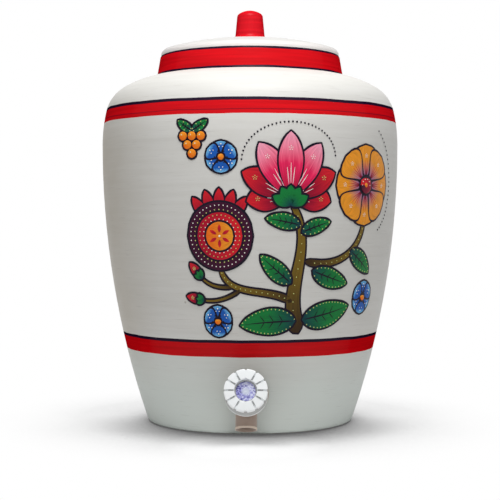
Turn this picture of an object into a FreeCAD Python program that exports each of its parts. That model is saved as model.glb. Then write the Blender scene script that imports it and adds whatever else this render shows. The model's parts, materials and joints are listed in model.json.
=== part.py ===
"""Clay water pot with a screw-down tap, as separate pieces.

The frame is +Z up, with its origin at the centre of the pot's flat base. The tap
points towards -Y. All lengths are millimetres and all angles are degrees.
"""
import FreeCAD, Part
import Sketcher
import os

DOCUMENT = FreeCAD.newDocument("ClayWaterPot")
SHEET = DOCUMENT.addObject("Spreadsheet::Sheet", "Sizes")

# Driving dimensions: alias, value, what it measures.
SIZES = [
    # The thrown pot.
    ("belly_radius", 135.0, "widest outside radius"),
    ("belly_height", 251.0, "height of the widest circle"),
    ("flank_radius", 770.0, "curvature of the long wall below the belly"),
    ("upper_flank_radius", 138.0, "curvature of the wall above the belly"),
    ("upper_flank_sweep", 12.7, "angle of that arc, from the belly up"),
    ("corner_radius", 33.0, "round between wall and shoulder"),
    ("corner_end", 60.0, "angle at which the round meets the shoulder"),
    ("shoulder_radius", 90.0, "curvature of the shoulder"),
    ("pot_wall", 8.0, "wall thickness"),
    ("pot_floor", 10.0, "floor thickness"),
    ("heel_round", 5.0, "round at the foot of the wall"),
    ("neck_top_radius", 82.2, "outside of the collar at the rim"),
    ("neck_flare", 3.2, "how much wider the collar is where it leaves the shoulder"),
    ("neck_rise", 18.7, "height of the collar"),
    ("neck_wall", 8.2, "thickness of the collar at the rim"),
    ("rim_round", 2.0, "round on both edges of the rim"),
    ("neck_fillet", 2.0, "hollow where the collar leaves the shoulder"),
    # The lid.
    ("lid_inset", 0.6, "from the collar's outside at the rim in to the lid's edge"),
    ("lid_edge", 5.0, "height of the lid's upright edge"),
    ("lid_edge_round", 4.6, "round above the lid's edge"),
    ("lid_rise", 11.6, "rise of the lid's dome above its edge"),
    ("lid_wall", 7.0, "thickness of the dome"),
    ("lid_ring_depth", 10.0, "locating ring below the rim"),
    ("lid_ring_wall", 8.0, "thickness of the locating ring"),
    ("lid_ring_gap", 1.5, "play between the ring and the mouth"),
    ("lid_ring_round", 1.5, "round on the ring's lower edges"),
    ("grip_foot_radius", 13.8, "lid grip where it leaves the dome"),
    ("grip_top_radius", 11.7, "lid grip below its round top"),
    ("grip_cap", 4.2, "bulge of the grip's top"),
    ("grip_cap_round", 4.0, "round at the edge of that top"),
    ("grip_rise", 26.6, "lid grip's height above the dome's crown"),
    ("grip_fillet", 5.0, "flare at the grip's foot"),
    # Where the tap sits, and its bends.
    ("tap_height", 37.0, "height of the shank's axis at the outer wall"),
    ("tap_hole_radius", 8.5, "hole through the wall"),
    ("elbow_reach", 17.0, "from the outer wall to the elbow, along the shank"),
    ("valve_tilt", 21.0, "rise of the valve's axis above level"),
    # Shank, flange, washers and nut.
    ("shank_radius", 8.0, "threaded shank"),
    ("shank_tail", 4.0, "shank left free behind the nut"),
    ("waterway_radius", 4.5, "water passage in the shank"),
    ("flange_radius", 18.0, "flange against the wall"),
    ("flange_thickness", 3.0, "flange"),
    ("flange_round", 1.2, "round on the flange's front edge"),
    ("elbow_radius", 8.9, "outside of the arm between flange and barrel"),
    ("outer_washer_radius", 16.6, "rubber washer outside"),
    ("outer_washer_thickness", 2.4, "rubber washer outside, at its middle"),
    ("inner_washer_radius", 14.0, "rubber washer inside"),
    ("inner_washer_thickness", 3.0, "rubber washer inside, at its middle"),
    ("washer_play", 0.15, "play of the washers round the shank"),
    ("slip_washer_radius", 13.4, "plastic washer below the nut"),
    ("slip_washer_thickness", 1.2, "plastic washer below the nut"),
    ("nut_flats", 24.0, "across the flats of the back nut"),
    ("nut_height", 7.0, "back nut"),
    ("nut_chamfer", 1.0, "chamfer on the nut's corners"),
    # Barrel and spout, along the valve's axis from the elbow.
    ("barrel_radius", 11.3, "outside of the barrel"),
    ("barrel_back", 8.6, "barrel behind the elbow"),
    ("barrel_back_round", 6.0, "round on the barrel's back"),
    ("barrel_end", 20.0, "barrel's open end"),
    ("chamber_radius", 8.8, "bore of the barrel"),
    ("chamber_floor", 3.0, "floor of the bore"),
    ("seat_height", 1.5, "valve seat above that floor"),
    ("seat_radius", 6.2, "outside of the valve seat"),
    ("spout_place", 9.5, "spout's axis"),
    ("spout_radius", 8.9, "outside of the spout"),
    ("spout_bore_radius", 5.8, "bore of the spout"),
    ("spout_reach", 26.2, "from the barrel's axis to the mouth"),
    ("spout_lip", 1.6, "length of the lip at the mouth"),
    ("spout_lip_proud", 0.2, "how far the lip stands out"),
    ("spout_flare", 1.6, "bevel inside the mouth"),
    # Bonnet.
    ("gasket_thickness", 0.6, "flat gasket below the bonnet"),
    ("bonnet_flats", 21.6, "across the flats of the bonnet"),
    ("bonnet_head", 2.4, "height of the bonnet's hexagon"),
    ("bonnet_plug", 4.2, "screwed length in the barrel"),
    ("bonnet_sleeve", 3.8, "sleeve below the screwed length"),
    ("bonnet_sleeve_wall", 1.6, "wall of that sleeve"),
    ("spindle_thread_radius", 5.1, "spindle's coarse thread"),
    ("running_gap", 0.08, "radial play of what turns or slides"),
    ("o_ring_section", 1.6, "o-ring's section"),
    ("o_ring_squeeze", 0.05, "how far the o-ring is pressed into its groove"),
    ("o_ring_lip", 0.4, "bonnet wall below the o-ring"),
    # Valve and spindle.
    ("seat_washer_thickness", 2.7, "rubber seat washer"),
    ("seat_washer_radius", 6.8, "rubber seat washer"),
    ("jumper_plate", 1.5, "plate that carries the seat washer"),
    ("jumper_pip_radius", 1.6, "pip that holds the seat washer"),
    ("jumper_stem_radius", 1.9, "stem in the spindle"),
    ("jumper_stem_length", 4.2, "stem in the spindle"),
    ("spindle_nose_radius", 3.6, "spindle below its thread"),
    ("spindle_nose", 1.55, "length of that nose"),
    ("spindle_thread_length", 5.0, "spindle's coarse thread"),
    ("spindle_radius", 3.2, "spindle's neck"),
    ("drive_square", 4.4, "square drive at the spindle's end"),
    ("drive_length", 5.0, "square drive at the spindle's end"),
    # Knob.
    ("knob_gap", 1.0, "knob's boss above the bonnet when shut"),
    ("knob_radius", 17.8, "outside of the knob"),
    ("knob_back_gap", 0.6, "knob's back edge in front of the barrel"),
    ("knob_depth", 16.9, "from the knob's back edge to its rim in front"),
    ("knob_face_radius", 60.0, "curvature of the petals' faces"),
    ("knob_crown", 0.4, "petals' crown above that rim"),
    ("knob_round", 1.2, "round at the front edge"),
    ("knob_skirt_wall", 2.6, "wall of the knob's skirt"),
    ("knob_web", 1.4, "web between the drive and the screw's head"),
    ("knob_boss_radius", 5.6, "boss round the drive"),
    ("well_radius", 9.1, "recess in the knob's face"),
    ("well_round", 0.8, "round at the recess's mouth"),
    ("petals", 12, "petals on the knob"),
    ("petal_gap", 1.5, "groove between two petals"),
    ("petal_gap_depth", 1.6, "depth of that groove"),
    ("petal_length", 3.0, "petals' ends along the axis, from the rim back"),
    ("waist_depth", 1.3, "how far the waist behind the petals stands back"),
    ("back_ring", 3.6, "full width at the knob's back, along the axis"),
    ("flute_radius", 1.7, "hollow at the rim between two petals"),
    ("flute_place", 18.6, "distance of that hollow's centre from the axis"),
    ("rib_width", 1.5, "rib that fills the groove at the top and at the foot"),
    ("rib_rise", 0.35, "how far that rib stands above the petals"),
    # Screw and disc in the knob.
    ("screw_radius", 1.4, "knob screw"),
    ("screw_bite", 0.1, "how far the screw's thread cuts into the spindle"),
    ("screw_length", 9.0, "knob screw below its head"),
    ("screw_head_radius", 3.0, "knob screw's head"),
    ("screw_head", 1.7, "height of the screw's head"),
    ("screw_head_room", 0.6, "room round and above the screw's head"),
    ("disc_radius", 8.1, "disc that hides the screw"),
    ("disc_thickness", 1.0, "disc that hides the screw"),
    ("disc_dome", 0.5, "bulge of the disc's face"),
    ("disc_ring", 1.8, "height of the ledge round the disc"),
    ("disc_play", 0.1, "radial play of the disc in its ledge"),
]
for row, (alias, size, meaning) in enumerate(SIZES, start=1):
    SHEET.set(f"A{row}", meaning)
    SHEET.set(f"B{row}", str(size))
    SHEET.setAlias(f"B{row}", alias)
DOCUMENT.recompute()

ALIASES = sorted((alias for alias, size, meaning in SIZES), key=len, reverse=True)
X_AXIS = FreeCAD.Vector(1, 0, 0)


def named(formula):
    """The formula with each size's name written as a reference to its cell."""
    words = []
    word = ""
    for letter in formula + " ":
        if letter.isalnum() or letter == "_":
            word += letter
            continue
        words.append(f"Sizes.{word}" if word in ALIASES else word)
        words.append(letter)
        word = ""
    return "".join(words).strip()


def value(formula):
    result = SHEET.evalExpression(named(formula))
    return float(getattr(result, "Value", result))


def origin_plane(body, role):
    return next(plane for plane in body.Origin.OriginFeatures if plane.Role == role)


def new_body(name, frame=None):
    body = DOCUMENT.addObject("PartDesign::Body", name)
    body.Label = name
    if frame:
        across, up, turn = frame
        placement = FreeCAD.Placement(
            FreeCAD.Vector(0, value(across), value(up)), FreeCAD.Rotation(X_AXIS, value(turn))
        )
        body.Placement = placement
        body.setExpression("Placement.Base.y", named(across))
        body.setExpression("Placement.Base.z", named(up))
        body.setExpression("Placement.Rotation.Angle", named(turn))
    return body


def new_sketch(body, name, role="XZ_Plane", offset=None):
    """A sketch on one of the body's own planes, moved within that plane's frame."""
    sketch = body.newObject("Sketcher::SketchObject", name)
    sketch.AttachmentSupport = [(origin_plane(body, role), "")]
    sketch.MapMode = "FlatFace"
    if offset:
        axis, turn, along_y, along_z = offset
        sketch.AttachmentOffset = FreeCAD.Placement(
            FreeCAD.Vector(0, value(along_y), value(along_z)), FreeCAD.Rotation(axis, value(turn))
        )
        sketch.setExpression("AttachmentOffset.Base.y", named(along_y))
        sketch.setExpression("AttachmentOffset.Base.z", named(along_z))
        sketch.setExpression("AttachmentOffset.Rotation.Angle", named(turn))
    return sketch


def pin_point(sketch, geometry, end, place):
    """Hold one end of a sketch element at the place that two formulas give."""
    for direction, axis, formula in (("DistanceX", -2, place[0]), ("DistanceY", -1, place[1])):
        if formula == "0":
            sketch.addConstraint(Sketcher.Constraint("PointOnObject", geometry, end, axis))
            continue
        index = sketch.addConstraint(
            Sketcher.Constraint(direction, -1, 1, geometry, end, value(formula))
        )
        sketch.setExpression(f"Constraints[{index}]", named(formula))


def draw_profile(sketch, corners, arcs=None):
    """A closed outline. corners are places; arcs maps a corner's number to the radius
    of the arc that leaves it: positive bulges to the right of the way along."""
    arcs = arcs or {}
    points = [FreeCAD.Vector(value(x), value(y), 0) for x, y in corners]
    count = len(corners)
    for number, start in enumerate(points):
        stop = points[(number + 1) % count]
        if number in arcs:
            formula = arcs[number]
            radius = value(formula)
            chord = stop - start
            middle = (start + stop) * 0.5
            to_right = FreeCAD.Vector(chord.y, -chord.x, 0).normalize()
            height = (abs(radius) ** 2 - (chord.Length / 2) ** 2) ** 0.5
            side = 1 if radius > 0 else -1
            centre = middle - to_right * (side * height)
            bulge = centre + to_right * (side * abs(radius))
            curve = Part.Arc(start, bulge, stop)
            geometry = sketch.addGeometry(curve, False)
            first, second = (1, 2) if side > 0 else (2, 1)
            pin_point(sketch, geometry, first, corners[number])
            pin_point(sketch, geometry, second, corners[(number + 1) % count])
            index = sketch.addConstraint(Sketcher.Constraint("Radius", geometry, abs(radius)))
            sketch.setExpression(f"Constraints[{index}]", named(formula.lstrip("-")))
        else:
            geometry = sketch.addGeometry(Part.LineSegment(start, stop), False)
            pin_point(sketch, geometry, 1, corners[number])
            pin_point(sketch, geometry, 2, corners[(number + 1) % count])


def draw_circle(sketch, radius, x="0", y="0"):
    centre = FreeCAD.Vector(value(x), value(y), 0)
    geometry = sketch.addGeometry(Part.Circle(centre, FreeCAD.Vector(0, 0, 1), value(radius)), False)
    pin_point(sketch, geometry, 3, (x, y))
    index = sketch.addConstraint(Sketcher.Constraint("Radius", geometry, value(radius)))
    sketch.setExpression(f"Constraints[{index}]", named(radius))


def turn_profile(body, name, corners, arcs=None, cut=False, role="XZ_Plane", offset=None):
    """Revolve a profile about the sketch's upright axis, to add or to cut."""
    sketch = new_sketch(body, name + "_profile", role, offset)
    draw_profile(sketch, corners, arcs)
    kind = "PartDesign::Groove" if cut else "PartDesign::Revolution"
    feature = body.newObject(kind, name)
    feature.Profile = sketch
    feature.ReferenceAxis = (sketch, ["V_Axis"])
    feature.Angle = 360
    DOCUMENT.recompute()
    expect_change(feature, cut)
    return feature


def expect_change(feature, cut):
    """A cut that misses the solid, or an addition inside it, would go unseen."""
    before = feature.BaseFeature.Shape.Volume if feature.BaseFeature else 0
    change = feature.Shape.Volume - before
    if (change >= 0) if cut else (change <= 0):
        raise RuntimeError(f"{feature.Name} changes the volume by {change:.3f} mm3")


def extrude(body, name, sketch, front, back=None, cut=False, downwards=False):
    """Pad or pocket a sketch along its own normal by front, and by back the other way."""
    feature = body.newObject("PartDesign::Pocket" if cut else "PartDesign::Pad", name)
    feature.Profile = sketch
    feature.Reversed = cut != downwards
    feature.setExpression("Length", named(front))
    feature.Length = value(front)
    if back:
        feature.SideType = "Two sides"
        feature.Length2 = value(back)
        feature.setExpression("Length2", named(back))
    DOCUMENT.recompute()
    expect_change(feature, cut)
    return feature


def round_edges(body, name, radius, wanted, kind="Fillet"):
    """Fillet or chamfer the body's edges for which wanted(edge) is true."""
    base = body.Tip
    edges = [f"Edge{number}" for number, edge in enumerate(base.Shape.Edges, start=1) if wanted(edge)]
    feature = body.newObject(f"PartDesign::{kind}", name)
    feature.Base = (base, edges)
    size = "Radius" if kind == "Fillet" else "Size"
    setattr(feature, size, value(radius))
    feature.setExpression(size, named(radius))
    DOCUMENT.recompute()
    return feature


def ring_edge(radius, height):
    """Picks circles about the Z axis of the given radius and height."""
    wanted_radius = value(radius)
    wanted_height = value(height)

    def picks(edge):
        if edge.Degenerated:
            return False
        curve = edge.Curve
        return (
            isinstance(curve, Part.Circle)
            and abs(curve.Radius - wanted_radius) < 1e-4
            and abs(curve.Center.z - wanted_height) < 1e-4
            and abs(curve.Center.x) + abs(curve.Center.y) < 1e-4
        )

    return picks


def hexagon(sketch, flats):
    """A hexagon about the sketch's origin with two flats upright."""
    half = f"({flats}) / 2"
    corner = f"({flats}) / sqrt(3)"
    corners = [
        (half, f"{corner} / 2"),
        ("0", corner),
        (f"-{half}", f"{corner} / 2"),
        (f"-{half}", f"-{corner} / 2"),
        ("0", f"-{corner}"),
        (half, f"-{corner} / 2"),
    ]
    draw_profile(sketch, corners)


def square(sketch, flats):
    half = f"({flats}) / 2"
    minus = f"-({flats}) / 2"
    draw_profile(sketch, [(half, half), (minus, half), (minus, minus), (half, minus)])


# Places on the pot's outline, as formulas of the driving dimensions.
FLANK_CENTRE = "(belly_radius - flank_radius)"
UPPER_CENTRE = "(belly_radius - upper_flank_radius)"
WALL_TOP = (
    f"({UPPER_CENTRE} + upper_flank_radius * cos(upper_flank_sweep))",
    "(belly_height + upper_flank_radius * sin(upper_flank_sweep))",
)
CORNER_CENTRE = (
    f"({WALL_TOP[0]} - corner_radius * cos(upper_flank_sweep))",
    f"({WALL_TOP[1]} - corner_radius * sin(upper_flank_sweep))",
)
CORNER_STOP = (
    f"({CORNER_CENTRE[0]} + corner_radius * cos(corner_end))",
    f"({CORNER_CENTRE[1]} + corner_radius * sin(corner_end))",
)
SHOULDER_CENTRE = (
    f"({CORNER_STOP[0]} - shoulder_radius * cos(corner_end))",
    f"({CORNER_STOP[1]} - shoulder_radius * sin(corner_end))",
)
NECK_FOOT_RADIUS = "(neck_top_radius + neck_flare)"
NECK_FOOT_HEIGHT = (
    f"({SHOULDER_CENTRE[1]} + sqrt(shoulder_radius ^ 2 - ({NECK_FOOT_RADIUS} - {SHOULDER_CENTRE[0]}) ^ 2))"
)
RIM_HEIGHT = f"({NECK_FOOT_HEIGHT} + neck_rise)"
MOUTH_RADIUS = "(neck_top_radius - neck_wall)"
LID_RADIUS = "(neck_top_radius - lid_inset)"


def flank_at(height, inwards="0"):
    """Radius of the long wall at a height, on the skin that lies inwards of the outside."""
    return f"({FLANK_CENTRE} + sqrt((flank_radius - {inwards}) ^ 2 - (belly_height - ({height})) ^ 2))"


# The shank's frame: its origin on the outer wall, its Z along the outward normal.
WALL_SLOPE = "(asin((belly_height - tap_height) / flank_radius) / 1 deg)"
SEAT_RADIUS = flank_at("tap_height")
SHANK_FRAME = (f"-{SEAT_RADIUS}", "tap_height", f"90 + {WALL_SLOPE}")
# The valve's frame: its origin at the elbow, its Z along the spindle to the knob.
VALVE_FRAME = (
    f"-({SEAT_RADIUS} + elbow_reach * cos({WALL_SLOPE}))",
    f"tap_height - elbow_reach * sin({WALL_SLOPE})",
    "90 - valve_tilt",
)
# The same places seen from a sketch on the pot's own XZ plane, whose normal is -Y.
SHANK_OFFSET = (X_AXIS, WALL_SLOPE, "tap_height", SEAT_RADIUS)

# Stations along the shank, from the outer wall inwards.
NUT_FACE = "(pot_wall + inner_washer_thickness + slip_washer_thickness)"
SHANK_END = f"({NUT_FACE} + nut_height + shank_tail)"
# Stations along the valve's axis, from the elbow to the knob.
SEAT_TOP = "(chamber_floor + seat_height)"
WASHER_TOP = f"({SEAT_TOP} + seat_washer_thickness)"
PLATE_TOP = f"({WASHER_TOP} + jumper_plate)"
SPINDLE_START = f"({PLATE_TOP} + running_gap)"
THREAD_START = f"({SPINDLE_START} + spindle_nose)"
THREAD_END = f"({THREAD_START} + spindle_thread_length)"
BONNET_FACE = "(barrel_end + gasket_thickness)"
BONNET_TOP = f"({BONNET_FACE} + bonnet_head)"
BOSS_FACE = f"({BONNET_TOP} + knob_gap)"
DRIVE_END = f"({BOSS_FACE} + drive_length)"
HEAD_FACE = f"({DRIVE_END} + knob_web)"
DISC_FACE = f"({HEAD_FACE} + screw_head + screw_head_room)"
SKIRT_BACK = "(barrel_end + knob_back_gap)"
FACE_RIM = f"({SKIRT_BACK} + knob_depth)"
PETAL_BACK = f"({FACE_RIM} - petal_length)"


def make_pot():
    body = new_body("pot_body")
    inner_corner_top = (
        f"({CORNER_CENTRE[0]} + (corner_radius - pot_wall) * cos(corner_end))",
        f"({CORNER_CENTRE[1]} + (corner_radius - pot_wall) * sin(corner_end))",
    )
    inner_wall_top = (
        f"({UPPER_CENTRE} + (upper_flank_radius - pot_wall) * cos(upper_flank_sweep))",
        "(belly_height + (upper_flank_radius - pot_wall) * sin(upper_flank_sweep))",
    )
    inner_neck_height = (
        f"({SHOULDER_CENTRE[1]} + sqrt((shoulder_radius - pot_wall) ^ 2"
        f" - ({MOUTH_RADIUS} - {SHOULDER_CENTRE[0]}) ^ 2))"
    )
    corners = [
        ("0", "0"),
        (flank_at("0"), "0"),
        ("belly_radius", "belly_height"),
        WALL_TOP,
        CORNER_STOP,
        (NECK_FOOT_RADIUS, NECK_FOOT_HEIGHT),
        ("neck_top_radius", RIM_HEIGHT),
        (MOUTH_RADIUS, RIM_HEIGHT),
        (MOUTH_RADIUS, inner_neck_height),
        inner_corner_top,
        inner_wall_top,
        ("belly_radius - pot_wall", "belly_height"),
        (flank_at("pot_floor", "pot_wall"), "pot_floor"),
        ("0", "pot_floor"),
    ]
    arcs = {
        1: "flank_radius",
        2: "upper_flank_radius",
        3: "corner_radius",
        4: "shoulder_radius",
        8: "-(shoulder_radius - pot_wall)",
        9: "-(corner_radius - pot_wall)",
        10: "-(upper_flank_radius - pot_wall)",
        11: "-(flank_radius - pot_wall)",
    }
    turn_profile(body, "thrown_wall", corners, arcs)
    round_edges(body, "heel", "heel_round", ring_edge(flank_at("0"), "0"))
    round_edges(body, "inner_heel", "heel_round + pot_wall / 2",
                ring_edge(flank_at("pot_floor", "pot_wall"), "pot_floor"))
    outer_rim = ring_edge("neck_top_radius", RIM_HEIGHT)
    inner_rim = ring_edge(MOUTH_RADIUS, RIM_HEIGHT)
    round_edges(body, "rim", "rim_round", lambda edge: outer_rim(edge) or inner_rim(edge))
    round_edges(body, "neck_hollow", "neck_fillet", ring_edge(NECK_FOOT_RADIUS, NECK_FOOT_HEIGHT))
    sketch = new_sketch(body, "tap_hole_circle", "XZ_Plane", SHANK_OFFSET)
    draw_circle(sketch, "tap_hole_radius")
    extrude(body, "tap_hole", sketch, "pot_wall", "2 * pot_wall", cut=True)
    return body


def make_lid():
    """Dome, upright edge, locating ring and grip, thrown as one piece."""
    body = new_body("lid")
    edge_top = f"({RIM_HEIGHT} + lid_edge)"
    crown = f"({edge_top} + lid_rise)"
    dome_radius = f"(({LID_RADIUS} ^ 2 + lid_rise ^ 2) / (2 * lid_rise))"
    dome_centre = f"({crown} - {dome_radius})"
    grip_foot = f"({dome_centre} + sqrt({dome_radius} ^ 2 - grip_foot_radius ^ 2))"
    ring_outer = f"({MOUTH_RADIUS} - lid_ring_gap)"
    ring_inner = f"({ring_outer} - lid_ring_wall)"
    under_radius = f"({dome_radius} - lid_wall)"
    under_edge = f"({dome_centre} + sqrt({under_radius} ^ 2 - {ring_inner} ^ 2))"
    ring_bottom = f"({RIM_HEIGHT} - lid_ring_depth)"
    grip_top = f"({crown} + grip_rise)"
    corners = [
        ("0", f"({crown} - lid_wall)"),
        (ring_inner, under_edge),
        (ring_inner, ring_bottom),
        (ring_outer, ring_bottom),
        (ring_outer, RIM_HEIGHT),
        (LID_RADIUS, RIM_HEIGHT),
        (LID_RADIUS, edge_top),
        ("grip_foot_radius", grip_foot),
        ("grip_top_radius", f"{grip_top} - grip_cap"),
        ("0", grip_top),
    ]
    cap_radius = "((grip_top_radius ^ 2 + grip_cap ^ 2) / (2 * grip_cap))"
    arcs = {0: f"-{under_radius}", 6: dome_radius, 8: cap_radius}
    turn_profile(body, "thrown_lid", corners, arcs)
    round_edges(body, "edge_round", "lid_edge_round", ring_edge(LID_RADIUS, edge_top))
    round_edges(body, "grip_flare", "grip_fillet", ring_edge("grip_foot_radius", grip_foot))
    round_edges(body, "grip_edge", "grip_cap_round",
                ring_edge("grip_top_radius", f"{grip_top} - grip_cap"))
    outer_foot = ring_edge(ring_outer, ring_bottom)
    inner_foot = ring_edge(ring_inner, ring_bottom)
    round_edges(body, "ring_round", "lid_ring_round", lambda edge: outer_foot(edge) or inner_foot(edge))
    return body


def make_tap_body():
    """Barrel with its valve seat, shank with its flange, and spout, moulded in one."""
    body = new_body("tap_body", VALVE_FRAME)
    barrel = [
        ("0", "-barrel_back"),
        ("barrel_radius - barrel_back_round", "-barrel_back"),
        ("barrel_radius", "-barrel_back + barrel_back_round"),
        ("barrel_radius", "barrel_end"),
        ("0", "barrel_end"),
    ]
    turn_profile(body, "barrel", barrel, {1: "barrel_back_round"}, role="YZ_Plane")
    # Upright in this sketch is the way out along the shank.
    bend = f"(valve_tilt + {WALL_SLOPE})"
    along_shank = (FreeCAD.Vector(0, 0, 1), bend, "0", "0")
    flange_front = "(elbow_reach - outer_washer_thickness - flange_thickness)"
    flange_back = "(elbow_reach - outer_washer_thickness)"
    shank = [
        ("0", "0"),
        ("elbow_radius", "0"),
        ("elbow_radius", f"-{flange_front}"),
        ("flange_radius - flange_round", f"-{flange_front}"),
        ("flange_radius", f"-({flange_front} + flange_round)"),
        ("flange_radius", f"-{flange_back}"),
        ("shank_radius", f"-{flange_back}"),
        ("shank_radius", f"-(elbow_reach + {SHANK_END})"),
        ("0", f"-(elbow_reach + {SHANK_END})"),
    ]
    turn_profile(body, "shank", shank, {3: "-flange_round"}, role="YZ_Plane", offset=along_shank)
    # Upright in this sketch is the way back from the spout's mouth.
    along_spout = (FreeCAD.Vector(0, 0, -1), "90", "spout_place", "0")
    lip_start = "(spout_reach - spout_lip)"
    spout = [
        ("0", "0"),
        ("spout_radius", "0"),
        ("spout_radius", f"-{lip_start}"),
        ("spout_radius + spout_lip_proud", f"-({lip_start} + spout_lip_proud)"),
        ("spout_radius + spout_lip_proud", "-spout_reach"),
        ("0", "-spout_reach"),
    ]
    turn_profile(body, "spout", spout, role="YZ_Plane", offset=along_spout)
    chamber = [
        ("0", "0"),
        ("waterway_radius", "0"),
        ("waterway_radius", SEAT_TOP),
        ("seat_radius", SEAT_TOP),
        ("seat_radius", "chamber_floor"),
        ("chamber_radius", "chamber_floor"),
        ("chamber_radius", "barrel_end"),
        ("0", "barrel_end"),
    ]
    turn_profile(body, "chamber", chamber, cut=True, role="YZ_Plane")
    waterway = [
        ("0", "waterway_radius"),
        ("waterway_radius", "0"),
        ("waterway_radius", f"-(elbow_reach + {SHANK_END})"),
        ("0", f"-(elbow_reach + {SHANK_END})"),
    ]
    turn_profile(
        body, "waterway", waterway, {0: "-waterway_radius"}, True, "YZ_Plane", along_shank
    )
    spout_bore_start = "((seat_radius + chamber_radius) / 2)"
    spout_bore = [
        ("0", f"-{spout_bore_start}"),
        ("spout_bore_radius", f"-{spout_bore_start}"),
        ("spout_bore_radius", "-(spout_reach - spout_flare)"),
        ("spout_bore_radius + spout_flare", "-spout_reach"),
        ("0", "-spout_reach"),
    ]
    turn_profile(body, "spout_bore", spout_bore, cut=True, role="YZ_Plane", offset=along_spout)
    return body


def draw_washer(name, radius):
    """A washer's two circles, on the plane that touches the outer wall at the shank."""
    body = new_body(name)
    sketch = new_sketch(body, name + "_circles", "XZ_Plane", SHANK_OFFSET)
    draw_circle(sketch, radius)
    draw_circle(sketch, "shank_radius + washer_play")
    return body, sketch


def make_outer_washer():
    """Rubber washer below the flange, with its back pressed to the curved wall."""
    body, sketch = draw_washer("outer_washer", "outer_washer_radius")
    extrude(body, "outer_washer_ring", sketch, "outer_washer_thickness", "pot_wall / 2")
    top = "(tap_height + 1.5 * outer_washer_radius)"
    wall = [("0", "0"), (flank_at("0"), "0"), (flank_at(top), top), ("0", top)]
    turn_profile(body, "outer_wall_side", wall, {1: "flank_radius"}, cut=True)
    return body


def make_inner_washer():
    """Rubber washer inside the pot, with its front pressed to the curved wall."""
    body, sketch = draw_washer("inner_washer", "inner_washer_radius")
    depth = "pot_wall + inner_washer_thickness"
    extrude(body, "inner_washer_ring", sketch, depth, downwards=True)
    top = "(tap_height + 1.5 * inner_washer_radius)"
    beyond = "(belly_radius + pot_wall)"
    wall = [
        (flank_at("pot_floor", "pot_wall"), "pot_floor"),
        (beyond, "pot_floor"),
        (beyond, top),
        (flank_at(top, "pot_wall"), top),
    ]
    turn_profile(body, "inner_wall_side", wall, {3: "-(flank_radius - pot_wall)"}, cut=True)
    return body


def make_ring(name, frame, inner, outer, bottom, top):
    """A flat ring between two stations of its frame's Z axis."""
    body = new_body(name, frame)
    corners = [(inner, bottom), (outer, bottom), (outer, top), (inner, top)]
    turn_profile(body, name + "_ring", corners)
    return body


def make_back_nut():
    body = new_body("back_nut", SHANK_FRAME)
    back = f"-({NUT_FACE} + nut_height)"
    sketch = new_sketch(body, "nut_outline", "XY_Plane", (FreeCAD.Vector(0, 0, 1), "0", "0", back))
    hexagon(sketch, "nut_flats")
    extrude(body, "nut_block", sketch, "nut_height")
    hole = new_sketch(body, "nut_hole_circle", "XY_Plane", (FreeCAD.Vector(0, 0, 1), "0", "0", back))
    draw_circle(hole, "shank_radius + running_gap")
    extrude(body, "nut_hole", hole, "nut_height", cut=True)
    corner = "(nut_flats / sqrt(3))"
    cone = [
        (f"{corner} - nut_chamfer", back),
        (f"{corner} + nut_chamfer", back),
        (f"{corner} + nut_chamfer", f"{back} + nut_chamfer"),
    ]
    turn_profile(body, "nut_corners", cone, cut=True)
    return body


def make_bonnet():
    """Hexagon head, screwed plug and the sleeve that the spindle climbs in."""
    body = new_body("tap_bonnet", VALVE_FRAME)
    thread = "(spindle_thread_radius + running_gap)"
    sleeve = f"({thread} + bonnet_sleeve_wall)"
    neck = "(spindle_radius + running_gap)"
    plug_start = "(barrel_end - bonnet_plug)"
    sleeve_start = f"({plug_start} - bonnet_sleeve)"
    groove_start = "(barrel_end + o_ring_lip)"
    groove_end = f"({groove_start} + o_ring_section + running_gap)"
    groove = f"({neck} + o_ring_section - o_ring_squeeze)"
    corners = [
        (thread, sleeve_start),
        (sleeve, sleeve_start),
        (sleeve, plug_start),
        ("chamber_radius", plug_start),
        ("chamber_radius", BONNET_FACE),
        ("bonnet_flats / 2", BONNET_FACE),
        ("bonnet_flats / 2", BONNET_TOP),
        (neck, BONNET_TOP),
        (neck, groove_end),
        (groove, groove_end),
        (groove, groove_start),
        (neck, groove_start),
        (neck, "barrel_end"),
        (thread, "barrel_end"),
    ]
    turn_profile(body, "bonnet_turned", corners)
    sketch = new_sketch(body, "head_outline", "XY_Plane",
                        (FreeCAD.Vector(0, 0, 1), "0", "0", BONNET_FACE))
    hexagon(sketch, "bonnet_flats")
    draw_circle(sketch, "chamber_radius")
    extrude(body, "bonnet_head", sketch, "bonnet_head")
    return body


def make_o_ring():
    body = new_body("spindle_o_ring", VALVE_FRAME)
    sketch = new_sketch(body, "o_ring_section_circle")
    centre = "(spindle_radius + running_gap + o_ring_section / 2)"
    height = "(barrel_end + o_ring_lip + (o_ring_section + running_gap) / 2)"
    draw_circle(sketch, "o_ring_section / 2", centre, height)
    feature = body.newObject("PartDesign::Revolution", "o_ring_turned")
    feature.Profile = sketch
    feature.ReferenceAxis = (sketch, ["V_Axis"])
    feature.Angle = 360
    DOCUMENT.recompute()
    return body


def make_seat_washer():
    return make_ring(
        "seat_washer", VALVE_FRAME, "jumper_pip_radius", "seat_washer_radius", SEAT_TOP, WASHER_TOP
    )


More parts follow.
